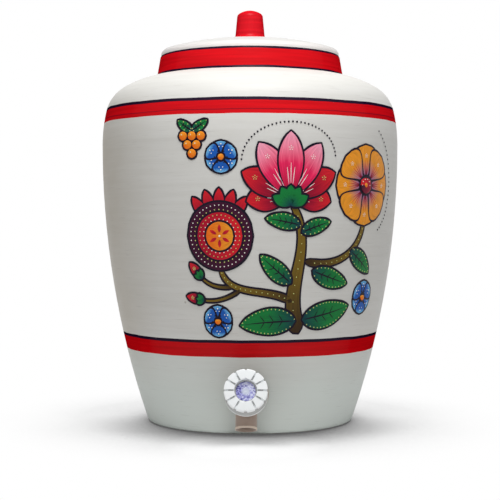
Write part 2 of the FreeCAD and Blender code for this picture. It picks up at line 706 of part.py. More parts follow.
def make_jumper():
    """Plate with a headed pip through the seat washer and a stem up into the spindle."""
    body = new_body("valve_jumper", VALVE_FRAME)
    pip_end = f"({SEAT_TOP} - jumper_pip_radius / 2)"
    pip_head = "(jumper_pip_radius * 1.5)"
    corners = [
        ("0", pip_end),
        ("jumper_pip_radius", pip_end),
        (pip_head, SEAT_TOP),
        ("jumper_pip_radius", SEAT_TOP),
        ("jumper_pip_radius", WASHER_TOP),
        ("seat_washer_radius", WASHER_TOP),
        ("seat_washer_radius", PLATE_TOP),
        ("jumper_stem_radius", PLATE_TOP),
        ("jumper_stem_radius", f"{PLATE_TOP} + jumper_stem_length"),
        ("0", f"{PLATE_TOP} + jumper_stem_length"),
    ]
    turn_profile(body, "jumper_turned", corners)
    return body


def make_spindle():
    body = new_body("tap_spindle", VALVE_FRAME)
    neck_end = f"({DRIVE_END} - drive_length)"
    stem_room = "(jumper_stem_radius + running_gap)"
    stem_depth = f"({PLATE_TOP} + jumper_stem_length + 2 * running_gap)"
    corners = [
        (stem_room, SPINDLE_START),
        ("spindle_nose_radius", SPINDLE_START),
        ("spindle_nose_radius", THREAD_START),
        ("spindle_thread_radius", THREAD_START),
        ("spindle_thread_radius", THREAD_END),
        ("spindle_radius", THREAD_END),
        ("spindle_radius", neck_end),
        ("0", neck_end),
        ("0", stem_depth),
        (stem_room, stem_depth),
    ]
    turn_profile(body, "spindle_turned", corners)
    upright = FreeCAD.Vector(0, 0, 1)
    sketch = new_sketch(body, "drive_outline", "XY_Plane", (upright, "0", "0", neck_end))
    square(sketch, "drive_square")
    extrude(body, "drive", sketch, "drive_length")
    pilot = new_sketch(body, "pilot_circle", "XY_Plane", (upright, "0", "0", DRIVE_END))
    draw_circle(pilot, "screw_radius - screw_bite")
    extrude(body, "pilot_hole", pilot, "screw_length", cut=True, downwards=True)
    return body


def make_knob():
    """A cup with petals round its face, a well for the disc and a square drive."""
    body = new_body("tap_knob", VALVE_FRAME)
    skirt_inner = "(knob_radius - knob_skirt_wall)"
    face_corner = f"({FACE_RIM} - knob_round)"
    crown_edge = "(knob_radius - knob_round)"
    crown_top = f"({FACE_RIM} + knob_crown)"
    cavity_floor = f"({DRIVE_END} - knob_web)"
    screw_hole = "(screw_radius + running_gap)"
    head_room = "(screw_head_radius + screw_head_room)"
    disc_seat = "(disc_radius + disc_play)"
    corners = [
        (skirt_inner, SKIRT_BACK),
        ("knob_radius", SKIRT_BACK),
        ("knob_radius", f"{SKIRT_BACK} + back_ring"),
        ("knob_radius - waist_depth", f"{SKIRT_BACK} + back_ring + waist_depth"),
        ("knob_radius - waist_depth", PETAL_BACK),
        ("knob_radius", PETAL_BACK),
        ("knob_radius", face_corner),
        (crown_edge, FACE_RIM),
        ("well_radius + well_round", crown_top),
        ("well_radius", f"{crown_top} - well_round"),
        ("well_radius", f"{DISC_FACE} + disc_ring"),
        (disc_seat, f"{DISC_FACE} + disc_ring"),
        (disc_seat, DISC_FACE),
        (head_room, DISC_FACE),
        (head_room, HEAD_FACE),
        (screw_hole, HEAD_FACE),
        (screw_hole, BOSS_FACE),
        ("knob_boss_radius", BOSS_FACE),
        ("knob_boss_radius", cavity_floor),
        (skirt_inner, cavity_floor),
    ]
    arcs = {6: "knob_round", 7: "knob_face_radius", 8: "well_round"}
    turn_profile(body, "knob_turned", corners, arcs)
    upright = FreeCAD.Vector(0, 0, 1)
    socket = new_sketch(body, "socket_outline", "XY_Plane", (upright, "0", "0", BOSS_FACE))
    square(socket, "drive_square + 2 * running_gap")
    extrude(body, "drive_socket", socket, "drive_length", cut=True)
    gap_bottom = f"({FACE_RIM} - petal_gap_depth)"
    gap = [
        ("well_radius - petal_gap", gap_bottom),
        ("knob_radius - knob_round", gap_bottom),
        ("knob_radius + petal_gap", f"{gap_bottom} - knob_round"),
        ("knob_radius + petal_gap", f"{crown_top} + petal_gap"),
        ("well_radius - petal_gap", f"{crown_top} + petal_gap"),
    ]
    sketch = new_sketch(body, "petal_gap_side")
    draw_profile(sketch, gap)
    groove = extrude(body, "petal_gap_cut", sketch, "petal_gap / 2", "petal_gap / 2", cut=True)
    hollow = new_sketch(body, "flute_circle", "XY_Plane", (upright, "0", "0", PETAL_BACK))
    draw_circle(hollow, "flute_radius", "flute_place")
    flute = extrude(body, "flute_cut", hollow, "petal_length + knob_crown", cut=True)
    repeat(body, "petal_pattern", [groove, flute], hollow, int(value("petals")))
    body.Tip.setExpression("Occurrences", "Sizes.petals")
    rib = [
        ("well_radius + well_round", f"{gap_bottom} - petal_gap"),
        ("knob_radius - knob_round", f"{gap_bottom} - petal_gap"),
        ("knob_radius - knob_round", f"{FACE_RIM} + rib_rise"),
        ("well_radius + well_round", f"{crown_top} + rib_rise"),
    ]
    side = new_sketch(body, "rib_side", "YZ_Plane")
    draw_profile(side, rib, {2: "knob_face_radius"})
    top_rib = extrude(body, "top_rib", side, "rib_width / 2", "rib_width / 2")
    repeat(body, "rib_pattern", [top_rib], hollow, 2)
    return body


def repeat(body, name, features, sketch, count):
    """Copy features round the axis that stands on a sketch's origin."""
    pattern = body.newObject("PartDesign::PolarPattern", name)
    pattern.Originals = features
    pattern.Axis = (sketch, ["N_Axis"])
    pattern.Angle = 360
    pattern.Occurrences = count
    body.Tip = pattern
    DOCUMENT.recompute()


def make_screw():
    body = new_body("knob_screw", VALVE_FRAME)
    corners = [
        ("0", f"{HEAD_FACE} - screw_length"),
        ("screw_radius", f"{HEAD_FACE} - screw_length + screw_radius"),
        ("screw_radius", HEAD_FACE),
        ("screw_head_radius", HEAD_FACE),
        ("screw_head_radius", f"{HEAD_FACE} + screw_head / 2"),
        ("0", f"{HEAD_FACE} + screw_head"),
    ]
    crown = "((screw_head_radius ^ 2 + (screw_head / 2) ^ 2) / screw_head)"
    turn_profile(body, "screw_turned", corners, {4: crown})
    return body


def make_disc():
    body = new_body("knob_disc", VALVE_FRAME)
    corners = [
        ("0", DISC_FACE),
        ("disc_radius", DISC_FACE),
        ("disc_radius", f"{DISC_FACE} + disc_thickness"),
        ("0", f"{DISC_FACE} + disc_thickness + disc_dome"),
    ]
    dome = "((disc_radius ^ 2 + disc_dome ^ 2) / (2 * disc_dome))"
    turn_profile(body, "disc_turned", corners, {2: dome})
    return body


def make_pieces():
    play = "washer_play"
    return [
        make_pot(),
        make_lid(),
        make_tap_body(),
        make_outer_washer(),
        make_inner_washer(),
        make_ring(
            "slip_washer", SHANK_FRAME, f"shank_radius + {play}", "slip_washer_radius",
            f"-{NUT_FACE}", f"-({NUT_FACE} - slip_washer_thickness)",
        ),
        make_back_nut(),
        make_ring(
            "bonnet_gasket", VALVE_FRAME, f"chamber_radius + {play}", "bonnet_flats / 2",
            "barrel_end", BONNET_FACE,
        ),
        make_bonnet(),
        make_o_ring(),
        make_seat_washer(),
        make_jumper(),
        make_spindle(),
        make_knob(),
        make_screw(),
        make_disc(),
    ]


def export(pieces):
    """Check every object and write each piece to a STEP file named after its node."""
    DOCUMENT.recompute()
    for item in DOCUMENT.Objects:
        if "Invalid" in item.State or "Error" in item.State:
            raise RuntimeError(f"{item.Label} failed: {item.State}")
    os.makedirs("parts", exist_ok=True)
    for piece in pieces:
        shape = piece.Shape
        if shape.isNull() or not shape.isValid():
            raise RuntimeError(f"{piece.Label} has no valid shape")
        shape.exportStep(f"parts/{piece.Label}.step")
        box = shape.BoundBox
        print(
            f"{piece.Label:16} solids {len(shape.Solids)} volume {shape.Volume / 1000:9.3f} cm3 "
            f"x {box.XMin:7.1f} {box.XMax:7.1f} y {box.YMin:7.1f} {box.YMax:7.1f} "
            f"z {box.ZMin:7.1f} {box.ZMax:7.1f}"
        )


export(make_pieces())
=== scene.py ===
"""Looks of a painted clay water pot with a plastic screw-down tap.

Laid out as an add-on with one operator for each group of pieces. The pot stands on
Z = 0 and its tap points towards -Y. Places in the painting are (arc, height) pairs
in millimetres: the arc runs round the belly's circle from the tap's side, towards +X.
"""
import functools
import json
import math

import bpy
from mathutils import Matrix, Vector


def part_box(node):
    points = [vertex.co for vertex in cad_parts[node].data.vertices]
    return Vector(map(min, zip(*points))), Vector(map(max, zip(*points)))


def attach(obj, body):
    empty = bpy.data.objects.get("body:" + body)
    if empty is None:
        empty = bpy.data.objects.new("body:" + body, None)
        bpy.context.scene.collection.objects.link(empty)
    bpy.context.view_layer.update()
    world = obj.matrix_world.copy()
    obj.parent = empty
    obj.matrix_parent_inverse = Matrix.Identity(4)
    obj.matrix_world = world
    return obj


bl_info = {
    "name": "Painted Water Pot",
    "version": (1, 0, 0),
    "blender": (4, 5, 0),
    "location": "View3D > Sidebar > Water Pot",
    "description": "Whitewashed and hand-painted clay water pot with a plastic tap",
    "category": "Object",
}

MM = 0.001
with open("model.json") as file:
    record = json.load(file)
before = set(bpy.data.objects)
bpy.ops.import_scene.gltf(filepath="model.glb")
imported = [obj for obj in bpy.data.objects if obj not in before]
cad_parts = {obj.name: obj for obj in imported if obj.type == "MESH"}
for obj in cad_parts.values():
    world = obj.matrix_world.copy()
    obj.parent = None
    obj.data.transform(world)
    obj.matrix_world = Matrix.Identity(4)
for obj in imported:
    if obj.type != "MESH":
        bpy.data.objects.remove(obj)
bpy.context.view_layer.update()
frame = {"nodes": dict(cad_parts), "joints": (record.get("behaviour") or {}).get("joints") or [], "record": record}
NODES = frame["nodes"]

POT_LOW, POT_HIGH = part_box("pot_body")
RIM_HEIGHT = POT_HIGH.z
BELLY_RADIUS = (POT_HIGH.x - POT_LOW.x) / 2
KNOB_JOINT = next(joint for joint in frame["joints"] if joint["name"] == "knob_turn")
ELBOW = Vector(KNOB_JOINT["pos_m"])
VALVE_AXIS = Vector(KNOB_JOINT["axis"])
SPOUT_AXIS = Vector((0, -VALVE_AXIS.z, VALVE_AXIS.y))
SPOUT_LIP = next(
    Vector(mount["pos_m"]) for mount in frame["record"]["mounts"] if mount["name"] == "spout_outlet"
)


def linear(hex_colour):
    """An sRGB hex colour as the linear RGBA that Blender's nodes take."""
    channels = [int(hex_colour[i:i + 2], 16) / 255 for i in (1, 3, 5)]
    return [c / 12.92 if c <= 0.04045 else ((c + 0.055) / 1.055) ** 2.4 for c in channels] + [1.0]


def length_property(name, description, millimetres):
    return bpy.props.FloatProperty(
        name=name, description=description, default=millimetres * MM, unit="LENGTH"
    )


def colour_property(name, description, hex_colour):
    return bpy.props.FloatVectorProperty(
        name=name, description=description, default=linear(hex_colour), size=4,
        subtype="COLOR", min=0.0, max=1.0,
    )


class ClaySettings(bpy.types.PropertyGroup):
    """Whitewash and painted bands of the pot and its lid."""

    whitewash: colour_property("Whitewash", "Coat over the clay", "#D7D6D2")
    thin_whitewash: colour_property("Thin whitewash", "Coat where brushed thin", "#C9C7C1")
    stain: colour_property("Stain", "Clay that shows through on one side", "#AFA084")
    # Cooler than the coat, as if damp, and lighter: painted light for the lower wall.
    damp_and_lit_whitewash: colour_property("Damp whitewash", "Coat near the foot", "#D5DDD8")
    scratch: colour_property("Scratch", "Fine scratches in the coat", "#8A8782")
    pin_hole: colour_property("Pin hole", "Clay in the coat's pin holes", "#8F8478")
    # Painted light and shade: the lid's edge is painted lighter and its dome darker, for the lamps above.
    lit_lid_edge: colour_property("Lid edge", "Coat on the lid's edge", "#F3EDEB")
    shaded_lid_dome: colour_property("Lid dome", "Coat on the lid's dome", "#BCBBB9")
    lid_ring: colour_property("Lid ring", "Bare clay of the lid's locating ring", "#A9583C")
    bare_clay: colour_property("Bare clay", "Unpainted fired clay inside and below", "#B5694A")
    fire_mark: colour_property("Fire mark", "Darker grains of the fired clay", "#9C5236")
    red: colour_property("Red", "Enamel of the collar and the upper band", "#D50E19")
    # The upper band's red, painted darker as shade for the lower wall, which faces down.
    shaded_red: colour_property("Dark red", "Enamel of the lower band", "#C80812")
    # A little darker than the collar's red: painted shade for the grip, which faces up close to the lamps.
    shaded_grip_red: colour_property("Grip red", "Enamel of the lid's grip", "#D01421")
    line: colour_property("Line", "Thin dark lines", "#1E0F26")
    collar_foot: length_property("Collar foot", "Height where the red collar starts", 315.3)
    collar_foot_line: length_property("Collar foot line", "Dark line below the collar", 2.3)
    # Partly a painted line and partly painted shadow under the lid's edge.
    lid_line_and_shadow: length_property("Collar top line", "Dark line below the lid", 1.8)
    rim_paint: length_property("Rim paint", "Radius within which the rim has no enamel", 80.5)
    # Heights where the lid's painted light on its edge fades into the painted shade on its dome.
    lid_edge_low: length_property("Lid edge low", "Chalk is thick up to here above the rim", 2.5)
    lid_edge_high: length_property("Lid edge high", "Chalk is thin from here above the rim", 6.0)
    grip_foot: length_property("Grip foot", "Radius where the lid's grip turns red", 18.6)
    grip_start: length_property("Grip start", "No red on the lid below this, above the rim", 15.0)
    upper_band_low: length_property("Upper band low", "Lower edge of the upper band", 269.9)
    upper_band_high: length_property("Upper band high", "Upper edge of the upper band", 281.0)
    lower_band_low: length_property("Lower band low", "Lower edge of the lower band", 67.3)
    lower_band_high: length_property("Lower band high", "Upper edge of the lower band", 79.4)
    line_width: length_property("Line width", "Width of the dark lines", 2.6)
    # The ridge is not modelled: a stripe of painted shadow marks it.
    stroke_overlap: length_property("Stroke overlap", "Ridge above the upper band's edge", 3.2)
    ridge_shadow_width: length_property("Ridge width", "Width of that ridge", 0.8)


class PaintingSettings(bpy.types.PropertyGroup):
    """Hand-painted spray of flowers on the pot's wall."""

    outline: length_property("Outline", "Dark edge round each painted shape", 1.6)
    coat: length_property("Coat", "Height of one coat of paint above the one below", 0.07)
    ground: length_property("Ground", "Height of the first coat above the wall", 0.25)
    ink: colour_property("Ink", "Outlines and dots", "#170E22")
    chalk: colour_property("Chalk", "White dots", "#F6F3EA")
    lime: colour_property("Lime", "Yellowish dots", "#C9CF7E")
    marigold: colour_property("Marigold", "Daisy petals", "#EF9A2B")
    orange: colour_property("Orange", "Berries and the pomegranate's heart", "#F1701C")
    violet: colour_property("Violet", "Roots of the daisy's petals", "#8B5BA2")
    crimson: colour_property("Crimson", "Lotus petals and buds", "#A8102F")
    pink: colour_property("Pink", "Lotus petals inside", "#EE2A60")
    blush: colour_property("Blush", "Light tips", "#F3A0B8")
    plum: colour_property("Plum", "Pomegranate's rind", "#3E0E2C")
    scarlet: colour_property("Scarlet", "Pomegranate's inner skin", "#D6222C")
    olive: colour_property("Olive", "Stems", "#77601F")
    umber: colour_property("Umber", "Shaded side of the stems", "#3C2A14")
    leaf: colour_property("Leaf", "Leaves", "#157A3A")
    teal: colour_property("Teal", "Leaf roots", "#0C3F45")
    blue: colour_property("Blue", "Small flowers", "#1D5BB4")
    sky: colour_property("Sky", "Light tips of the small flowers", "#72B9E9")


class TapSettings(bpy.types.PropertyGroup):
    """Plastics, rubber and metal of the tap."""

    body: colour_property("Tap body", "Moulded body", "#A89385")
    # Painted highlight: this pale colour rings the spout's lip where light catches its edge.
    lip: colour_property("Spout lip", "Lime scale on the spout's lip", "#EAD8C5")
    knob: colour_property("Knob", "Moulded knob", "#F5F8F9")
    # Painted shade: the colour that darkens the knob's waist and grooves in place of their shadow.
    waist_shade: colour_property("Grime", "Dust in the knob's waist and grooves", "#A9AAA8")
    fitting: colour_property("Fittings", "Back nut, bonnet and spindle", "#E6E5E0")
    rubber: colour_property("Rubber", "Washers", "#1D1C1C")
    screw: colour_property("Screw", "Zinc on the knob's screw", "#B9BCBE")
    disc: colour_property("Disc", "Violet foil of the disc", "#9B9AD8")
    disc_dark: colour_property("Disc dark", "Foil seen edge on", "#524F96")
    disc_light: colour_property("Disc light", "Pale flakes in the disc", "#DADDF5")
    disc_middle: colour_property("Disc middle", "Worn middle of the disc", "#CDD3E3")


class StageSettings(bpy.types.PropertyGroup):
    """Camera, lamps, floor."""

    floor: colour_property("Floor", "White floor", "#F7F7F7")
    shade_reach: length_property("Shade reach", "How far the pot shades the floor", 220)
    camera_distance: length_property("Camera distance", "From the pot's axis", 1198)
    camera_height: length_property("Camera height", "Above the floor", 178.1)
    camera_azimuth: bpy.props.FloatProperty(
        name="Camera azimuth", description="Round the pot from the tap's side",
        default=math.radians(1.28), subtype="ANGLE",
    )
    focal_share: bpy.props.FloatProperty(
        name="Focal share", description="Focal length over picture width", default=2.6
    )
    horizon: bpy.props.FloatProperty(
        name="Horizon", description="Horizon above the picture's middle, over its width",
        default=0.05,
    )


# ---- Nodes.

def add_node(tree, kind, inputs=(), output=0, stops=(), **settings):
    """Adds a node, applies its settings and sets or links its inputs, which come in the
    node's own order or by name. Returns one output, or the whole node for output=None.
    stops are the places and colours of a colour ramp."""
    node = tree.nodes.new("ShaderNode" + kind)
    for name, setting in settings.items():
        setattr(node, name, setting)
    if stops:
        elements = node.color_ramp.elements
        while len(elements) < len(stops):
            elements.new(0.5)
        for element, (place, colour) in zip(elements, stops):
            element.position = place
            element.color = colour
    for key, source in inputs.items() if isinstance(inputs, dict) else enumerate(inputs):
        if isinstance(source, bpy.types.NodeSocket):
            tree.links.new(source, node.inputs[key])
        else:
            node.inputs[key].default_value = source
    return node if output is None else node.outputs[output]


def start_nodes(owner):
    """Empties a material's or world's nodes. Returns add_node for its tree, which every
    function below that takes add is given."""
    owner.use_nodes = True
    owner.node_tree.nodes.clear()
    return functools.partial(add_node, owner.node_tree)


def new_material(name):
    material = bpy.data.materials.new(name)
    return material, start_nodes(material)


# The sockets of a Mix node that mixes colours.
FACTOR, UNDER, OVER, MIXED = 0, 6, 7, 2


def layered(add, colour, *coats, blend="MIX"):
    """A colour with others laid over it, each by its own mask."""
    for mask, over in coats:
        colour = add(
            "Mix", {FACTOR: mask, UNDER: colour, OVER: over}, MIXED,
            data_type="RGBA", blend_type=blend,
        )
    return colour


def any_of(add, mask, *others):
    """A mask that holds where any of these does."""
    for other in others:
        mask = add("Math", (mask, other), operation="MAXIMUM")
    return mask


def all_of(add, mask, *others):
    """A mask that holds where all of these do."""
    for other in others:
        mask = add("Math", (mask, other), operation="MULTIPLY")
    return mask


def band(add, level, low, high):
    """1 where level lies between low and high."""
    above = add("Math", (level, low), operation="GREATER_THAN")
    return all_of(add, above, add("Math", (level, high), operation="LESS_THAN"))


def end_material(add, inputs, relief, strength, depth):
    """A shader with these inputs, over a relief of so much depth, as the material's surface."""
    bump = {"Height": relief, "Strength": strength, "Distance": depth}
    inputs["Normal"] = add("Bump", bump)
    shader = add("BsdfPrincipled", inputs)
    add("OutputMaterial", (shader,), None)


def streaks(add, place, waves, detail=2.0, roughness=0.5):
    """Noise with so many waves along each axis: per metre of a place, or per stroke of a UV."""
    stretched = add("Mapping", {"Vector": place, "Scale": waves})
    inputs = {"Vector": stretched, "Scale": 1.0, "Detail": detail, "Roughness": roughness}
    return add("TexNoise", inputs)


# ---- Clay.

def clay_coat(add, place, settings):
    """Colour of the brushed lime wash and the height map of its streaks."""
    axes = add("SeparateXYZ", (place,), None).outputs
    # Bristle lines 4 mm apart and a hand long, hardly darker than the coat between them.
    bristles = streaks(add, place, (13, 13, 250), 4.0, 0.6)
    # Thin places 60 mm across, drawn out sideways by the turning wheel.
    cloudy = add("Math", (streaks(add, place, (8, 8, 16)), 0.4), operation="MULTIPLY")
    thin = add("Math", (bristles, 0.6, cloudy), operation="MULTIPLY_ADD")
    thin = add("MapRange", (thin, 0.4, 0.64, 0.0, 0.5))
    # Clay shows through on the side that dried last, below the shoulder.
    moved = add("Mapping", {"Vector": place, "Location": (3.1, 1.7, 0.4)})
    inputs = {"Vector": moved, "Scale": 9.0, "Detail": 3.0, "Roughness": 0.55}
    blotches = add("TexNoise", inputs)
    late_side = add("MapRange", (axes["X"], -75 * MM, -140 * MM, 0.0, 1.1))
    below_shoulder = add("MapRange", (axes["Z"], 240 * MM, 300 * MM, 1.0, 0.1))
    # Towards the foot, up to a wavering level, the coat is cooler, as if damp, and painted lighter: painted light
    # that makes up for the lower wall's shade.
    wavering = add("Math", (blotches, 50 * MM, axes["Z"]), operation="MULTIPLY_ADD")
    damp_and_lit = add("MapRange", (wavering, 115 * MM, 60 * MM, 0.0, 0.8))
    # Scratches from the brush's ferrule: 20 mm long, level, under a millimetre high.
    scratches = streaks(add, place, (45, 45, 1500), 1.0)
    scratches = add("MapRange", (scratches, 0.68, 0.76, 0.0, 0.22))
    # Pin holes 2 mm across, some 60 mm apart.
    pits = add("TexVoronoi", {"Vector": place, "Scale": 17.0}, "Distance")
    pits = add("MapRange", (pits, 0.012, 0.020, 1.0, 0.0))
    coat = layered(
        add, settings.whitewash,
        (thin, settings.thin_whitewash),
        (all_of(add, late_side, below_shoulder, blotches), settings.stain),
        (damp_and_lit, settings.damp_and_lit_whitewash),
        (scratches, settings.scratch),
        (all_of(add, pits, 0.5), settings.pin_hole),
    )
    return coat, add("Math", (pits, -2.0, bristles), operation="MULTIPLY_ADD")


def bare_clay_colour(add, place, settings):
    """Fired clay: warm, with grog and darker fire marks."""
    inputs = {"Vector": place, "Scale": 420.0, "Detail": 3.0, "Roughness": 0.7}
    grog = add("MapRange", (add("TexNoise", inputs), 0.35, 0.65))
    return layered(add, settings.bare_clay, (grog, settings.fire_mark))


def whitewashed_clay(name, settings, painted):
    """Low-fired clay, wheel-thrown, coated with lime wash by a flat brush that went round
    with the wheel: fine level streaks, satin, with glossier enamel laid over it.
    painted(add, level, radius, coat) gives the enamel's mask and the painted colour;
    what faces the axis, the ground or the pot's own floor stays bare."""
    material, add = new_material(name)
    place = add("TexCoord", output="Object")
    height = add("SeparateXYZ", (place,), "Z")
    normal = add("NewGeometry", output="True Normal")
    upward = add("SeparateXYZ", (normal,), "Z")
    level_place = add("VectorMath", (place, (1, 1, 0)), operation="MULTIPLY")
    radius = add("VectorMath", (level_place,), "Value", operation="LENGTH")
    outwards = add("VectorMath", (level_place,), operation="NORMALIZE")
    facing = add("VectorMath", (normal, outwards), "Value", operation="DOT_PRODUCT")
    coat, relief = clay_coat(add, place, settings)
    # Painted edges waver by about half a millimetre round the pot.
    waver = add("TexNoise", {"Vector": place, "Scale": 35.0, "Detail": 1.0})
    waver = add("Math", (waver, 1.2 * MM, -0.6 * MM), operation="MULTIPLY_ADD")
    level = add("Math", (height, waver), operation="ADD")
    enamel, colour = painted(add, level, radius, coat)
    bare = any_of(
        add,
        add("Math", (facing, -0.15), operation="LESS_THAN"),
        add("Math", (upward, -0.93), operation="LESS_THAN"),
        all_of(
            add,
            add("Math", (upward, 0.3), operation="GREATER_THAN"),
            add("Math", (height, 60 * MM), operation="LESS_THAN"),
        ),
    )
    colour = layered(add, colour, (bare, bare_clay_colour(add, place, settings)))
    coated = add("Math", (1.0, bare), operation="SUBTRACT")
    enamel = all_of(add, enamel, coated)
    # Lime wash at 0.5 and enamel at 0.3; bare clay is as dull as a flower pot.
    roughness = add("Math", (enamel, -0.2, 0.5), operation="MULTIPLY_ADD")
    roughness = add("Math", (bare, 0.4, roughness), operation="MULTIPLY_ADD")
    # Dust takes the enamel's sheen where the wall turns away.
    turned = add("LayerWeight", output="Facing")
    sheen = add("MapRange", (turned, 0.10, 0.45, -0.12, -0.22))
    specular = add("Math", (enamel, sheen, 0.22), operation="MULTIPLY_ADD")
    inputs = {"Base Color": colour, "Roughness": roughness, "Specular IOR Level": specular}
    end_material(add, inputs, relief, 0.1, 0.4 * MM)
    return material


def brushed_enamel(add, colour):
    """Enamel laid round the pot: a little lighter where the brush pressed, in level streaks."""
    place = add("TexCoord", output="Object")
    tone = streaks(add, place, (14, 14, 420), 3.0)
    tone = add("MapRange", (tone, 0.35, 0.7, 0.86, 1.08))
    return layered(add, colour, (1.0, tone), blend="MULTIPLY")


class POT_OT_clay(bpy.types.Operator):
    """Whitewash the pot and its lid and paint their bands"""

    bl_idname = "pot.clay"
    bl_label = "Paint the clay"

    def execute(self, context):
        settings = context.scene.pot_clay

        def pot_paint(add, level, radius, coat):
            width = settings.line_width
            foot = settings.collar_foot
            painted = add("Math", (radius, settings.rim_paint), operation="GREATER_THAN")
            upper = band(add, level, settings.upper_band_low, settings.upper_band_high)
            lower = band(add, level, settings.lower_band_low, settings.lower_band_high)
            collar = all_of(add, band(add, level, foot, 1.0), painted)
            red = any_of(add, upper, collar)
            # The line under the lid is partly paint and partly painted shadow of the lid's edge.
            line = any_of(add, *(
                band(add, level, low, high) for low, high in (
                    (settings.upper_band_high, settings.upper_band_high + width),
                    (settings.lower_band_high, settings.lower_band_high + width),
                    (foot - settings.collar_foot_line, foot),
                    (RIM_HEIGHT - settings.lid_line_and_shadow, 1.0),
                )
            ))
            line = all_of(add, line, painted)
            # The upper band took two strokes, which leave a ridge near its lower edge; the wall stays flat, and a
            # stripe of painted shadow stands for the ridge's shade.
            overlap = settings.upper_band_low + settings.stroke_overlap
            ridge_shadow = band(add, level, overlap, overlap + settings.ridge_shadow_width)
            colour = layered(
                add, coat,
                (red, brushed_enamel(add, settings.red)),
                # The lower band's darker red is painted shade.
                (lower, brushed_enamel(add, settings.shaded_red)),
                (all_of(add, ridge_shadow, 0.5), settings.line),
                (line, settings.line),
            )
            return any_of(add, red, lower, line), colour

        def lid_paint(add, level, radius, coat):
            # The lid's coat is painted lighter on its edge and darker on its dome: painted light and painted shade
            # for the lamps above.
            low, high = settings.lid_edge_low, settings.lid_edge_high
            edge_light = add("MapRange", (level, RIM_HEIGHT + low, RIM_HEIGHT + high, 1.0, 0.0))
            chalk = layered(add, settings.shaded_lid_dome, (edge_light, settings.lit_lid_edge))
            start = RIM_HEIGHT + settings.grip_start
            grip = all_of(
                add,
                add("Math", (radius, settings.grip_foot), operation="LESS_THAN"),
                add("Math", (level, start), operation="GREATER_THAN"),
            )
            below_rim = RIM_HEIGHT - 0.5 * MM
            ring = add("Math", (level, below_rim), operation="LESS_THAN")
            return grip, layered(
                add, coat,
                (0.75, chalk),
                # The grip's red is painted a little darker as shade.
                (grip, brushed_enamel(add, settings.shaded_grip_red)),
                (ring, settings.lid_ring),
            )

        dress_nodes(whitewashed_clay("whitewashed_clay", settings, pot_paint), "pot_body")
        dress_nodes(whitewashed_clay("whitewashed_lid", settings, lid_paint), "lid")
        return {"FINISHED"}


def dress_nodes(material, *names):
    for name in names:
        node = NODES[name]
        if not node.material_slots:
            node.data.materials.append(material)
        for slot in node.material_slots:
            slot.material = material


# ---- Tap.

def even_finish(name, colour, roughness, grain_size, tone, marked):
    """Moulded plastic or rubber, or plated steel: one colour, slightly cloudy where the melt
    or the bath was uneven, under a skin with a faint grain. marked(add, place, colour) may
    lay a painted highlight or painted shade over it."""
    material, add = new_material(name)
    place = add("TexCoord", output="Object")
    # Clouds a centimetre across, under a grain of grain_size.
    cloud = add("TexNoise", {"Vector": place, "Scale": 90.0})
    cloud = add("MapRange", (cloud, 0.3, 0.7, 1 - tone, 1 + tone / 2))
    tinted = layered(add, colour, (1.0, cloud), blend="MULTIPLY")
    if marked:
        tinted = marked(add, place, tinted)
    grain = add("TexNoise", {"Vector": place, "Scale": 1 / grain_size, "Detail": 1.0})
    inputs = {
        "Base Color": tinted, "Roughness": roughness, "IOR": 1.52, "Specular IOR Level": 0.4
    }
    end_material(add, inputs, grain, 0.08, grain_size)
    return material


def place_on_axis(add, place, point, axis):
    """How far along an axis and how far out from it a place lies."""
    offset = add("VectorMath", (place, point), operation="SUBTRACT")
    along = add("VectorMath", (offset, axis), "Value", operation="DOT_PRODUCT")
    across = add("VectorMath", (offset, axis), operation="CROSS_PRODUCT")
    return along, add("VectorMath", (across,), "Value", operation="LENGTH")


def lip_highlight(highlight_colour):
    """A painted highlight: a pale, ragged ring on the outside of the spout's lip, where light catches its edge."""
    outer_side = 8.4 * MM

    def marked(add, place, colour):
        along, out = place_on_axis(add, place, SPOUT_LIP, SPOUT_AXIS)
        ragged_edge_noise = add("TexNoise", {"Vector": place, "Scale": 600.0})
        edge = add("Math", (ragged_edge_noise, 1.2 * MM, along), operation="MULTIPLY_ADD")
        highlighted = add("MapRange", (edge, 0.4 * MM, 1.0 * MM, 0.0, 0.85))
        outside = add("Math", (out, outer_side), operation="GREATER_THAN")
        # Painted highlight on the lip's outer edge.
        return layered(add, colour, (all_of(add, highlighted, outside), highlight_colour))
    return marked


def shaded_waist(waist_shade_colour):
    """Painted shade: the knob's waist, between its petals and the ring at its back, and its grooves are darkened
    where their shadow falls.
    """
    reach = [(vertex.co - ELBOW).dot(VALVE_AXIS) for vertex in NODES["tap_knob"].data.vertices]
    back, face = min(reach), max(reach)
    bulge_radius = 60 * MM

    def marked(add, place, colour):
        along, out = place_on_axis(add, place, ELBOW, VALVE_AXIS)
        waist = band(add, along, back + 3.4 * MM, face - 3.6 * MM)
        # The petals' faces bulge, so the grooves are found by their depth below that bulge.
        squared = add("Math", (out, 2.0), operation="POWER")
        bulge = add("Math", (squared, 1 / (2 * bulge_radius)), operation="MULTIPLY")
        depth = add("Math", (face, along), operation="SUBTRACT")
        depth = add("Math", (depth, bulge), operation="SUBTRACT")
        grooved = all_of(
            add, band(add, depth, 0.7 * MM, 2.2 * MM), band(add, out, 10 * MM, 17.4 * MM)
        )
        # Painted shade in the grooves and the waist.
        shaded_share = add("Math", (grooved, 0.7, all_of(add, waist, 0.85)), operation="MULTIPLY_ADD")
        return layered(add, colour, (shaded_share, waist_shade_colour))
    return marked


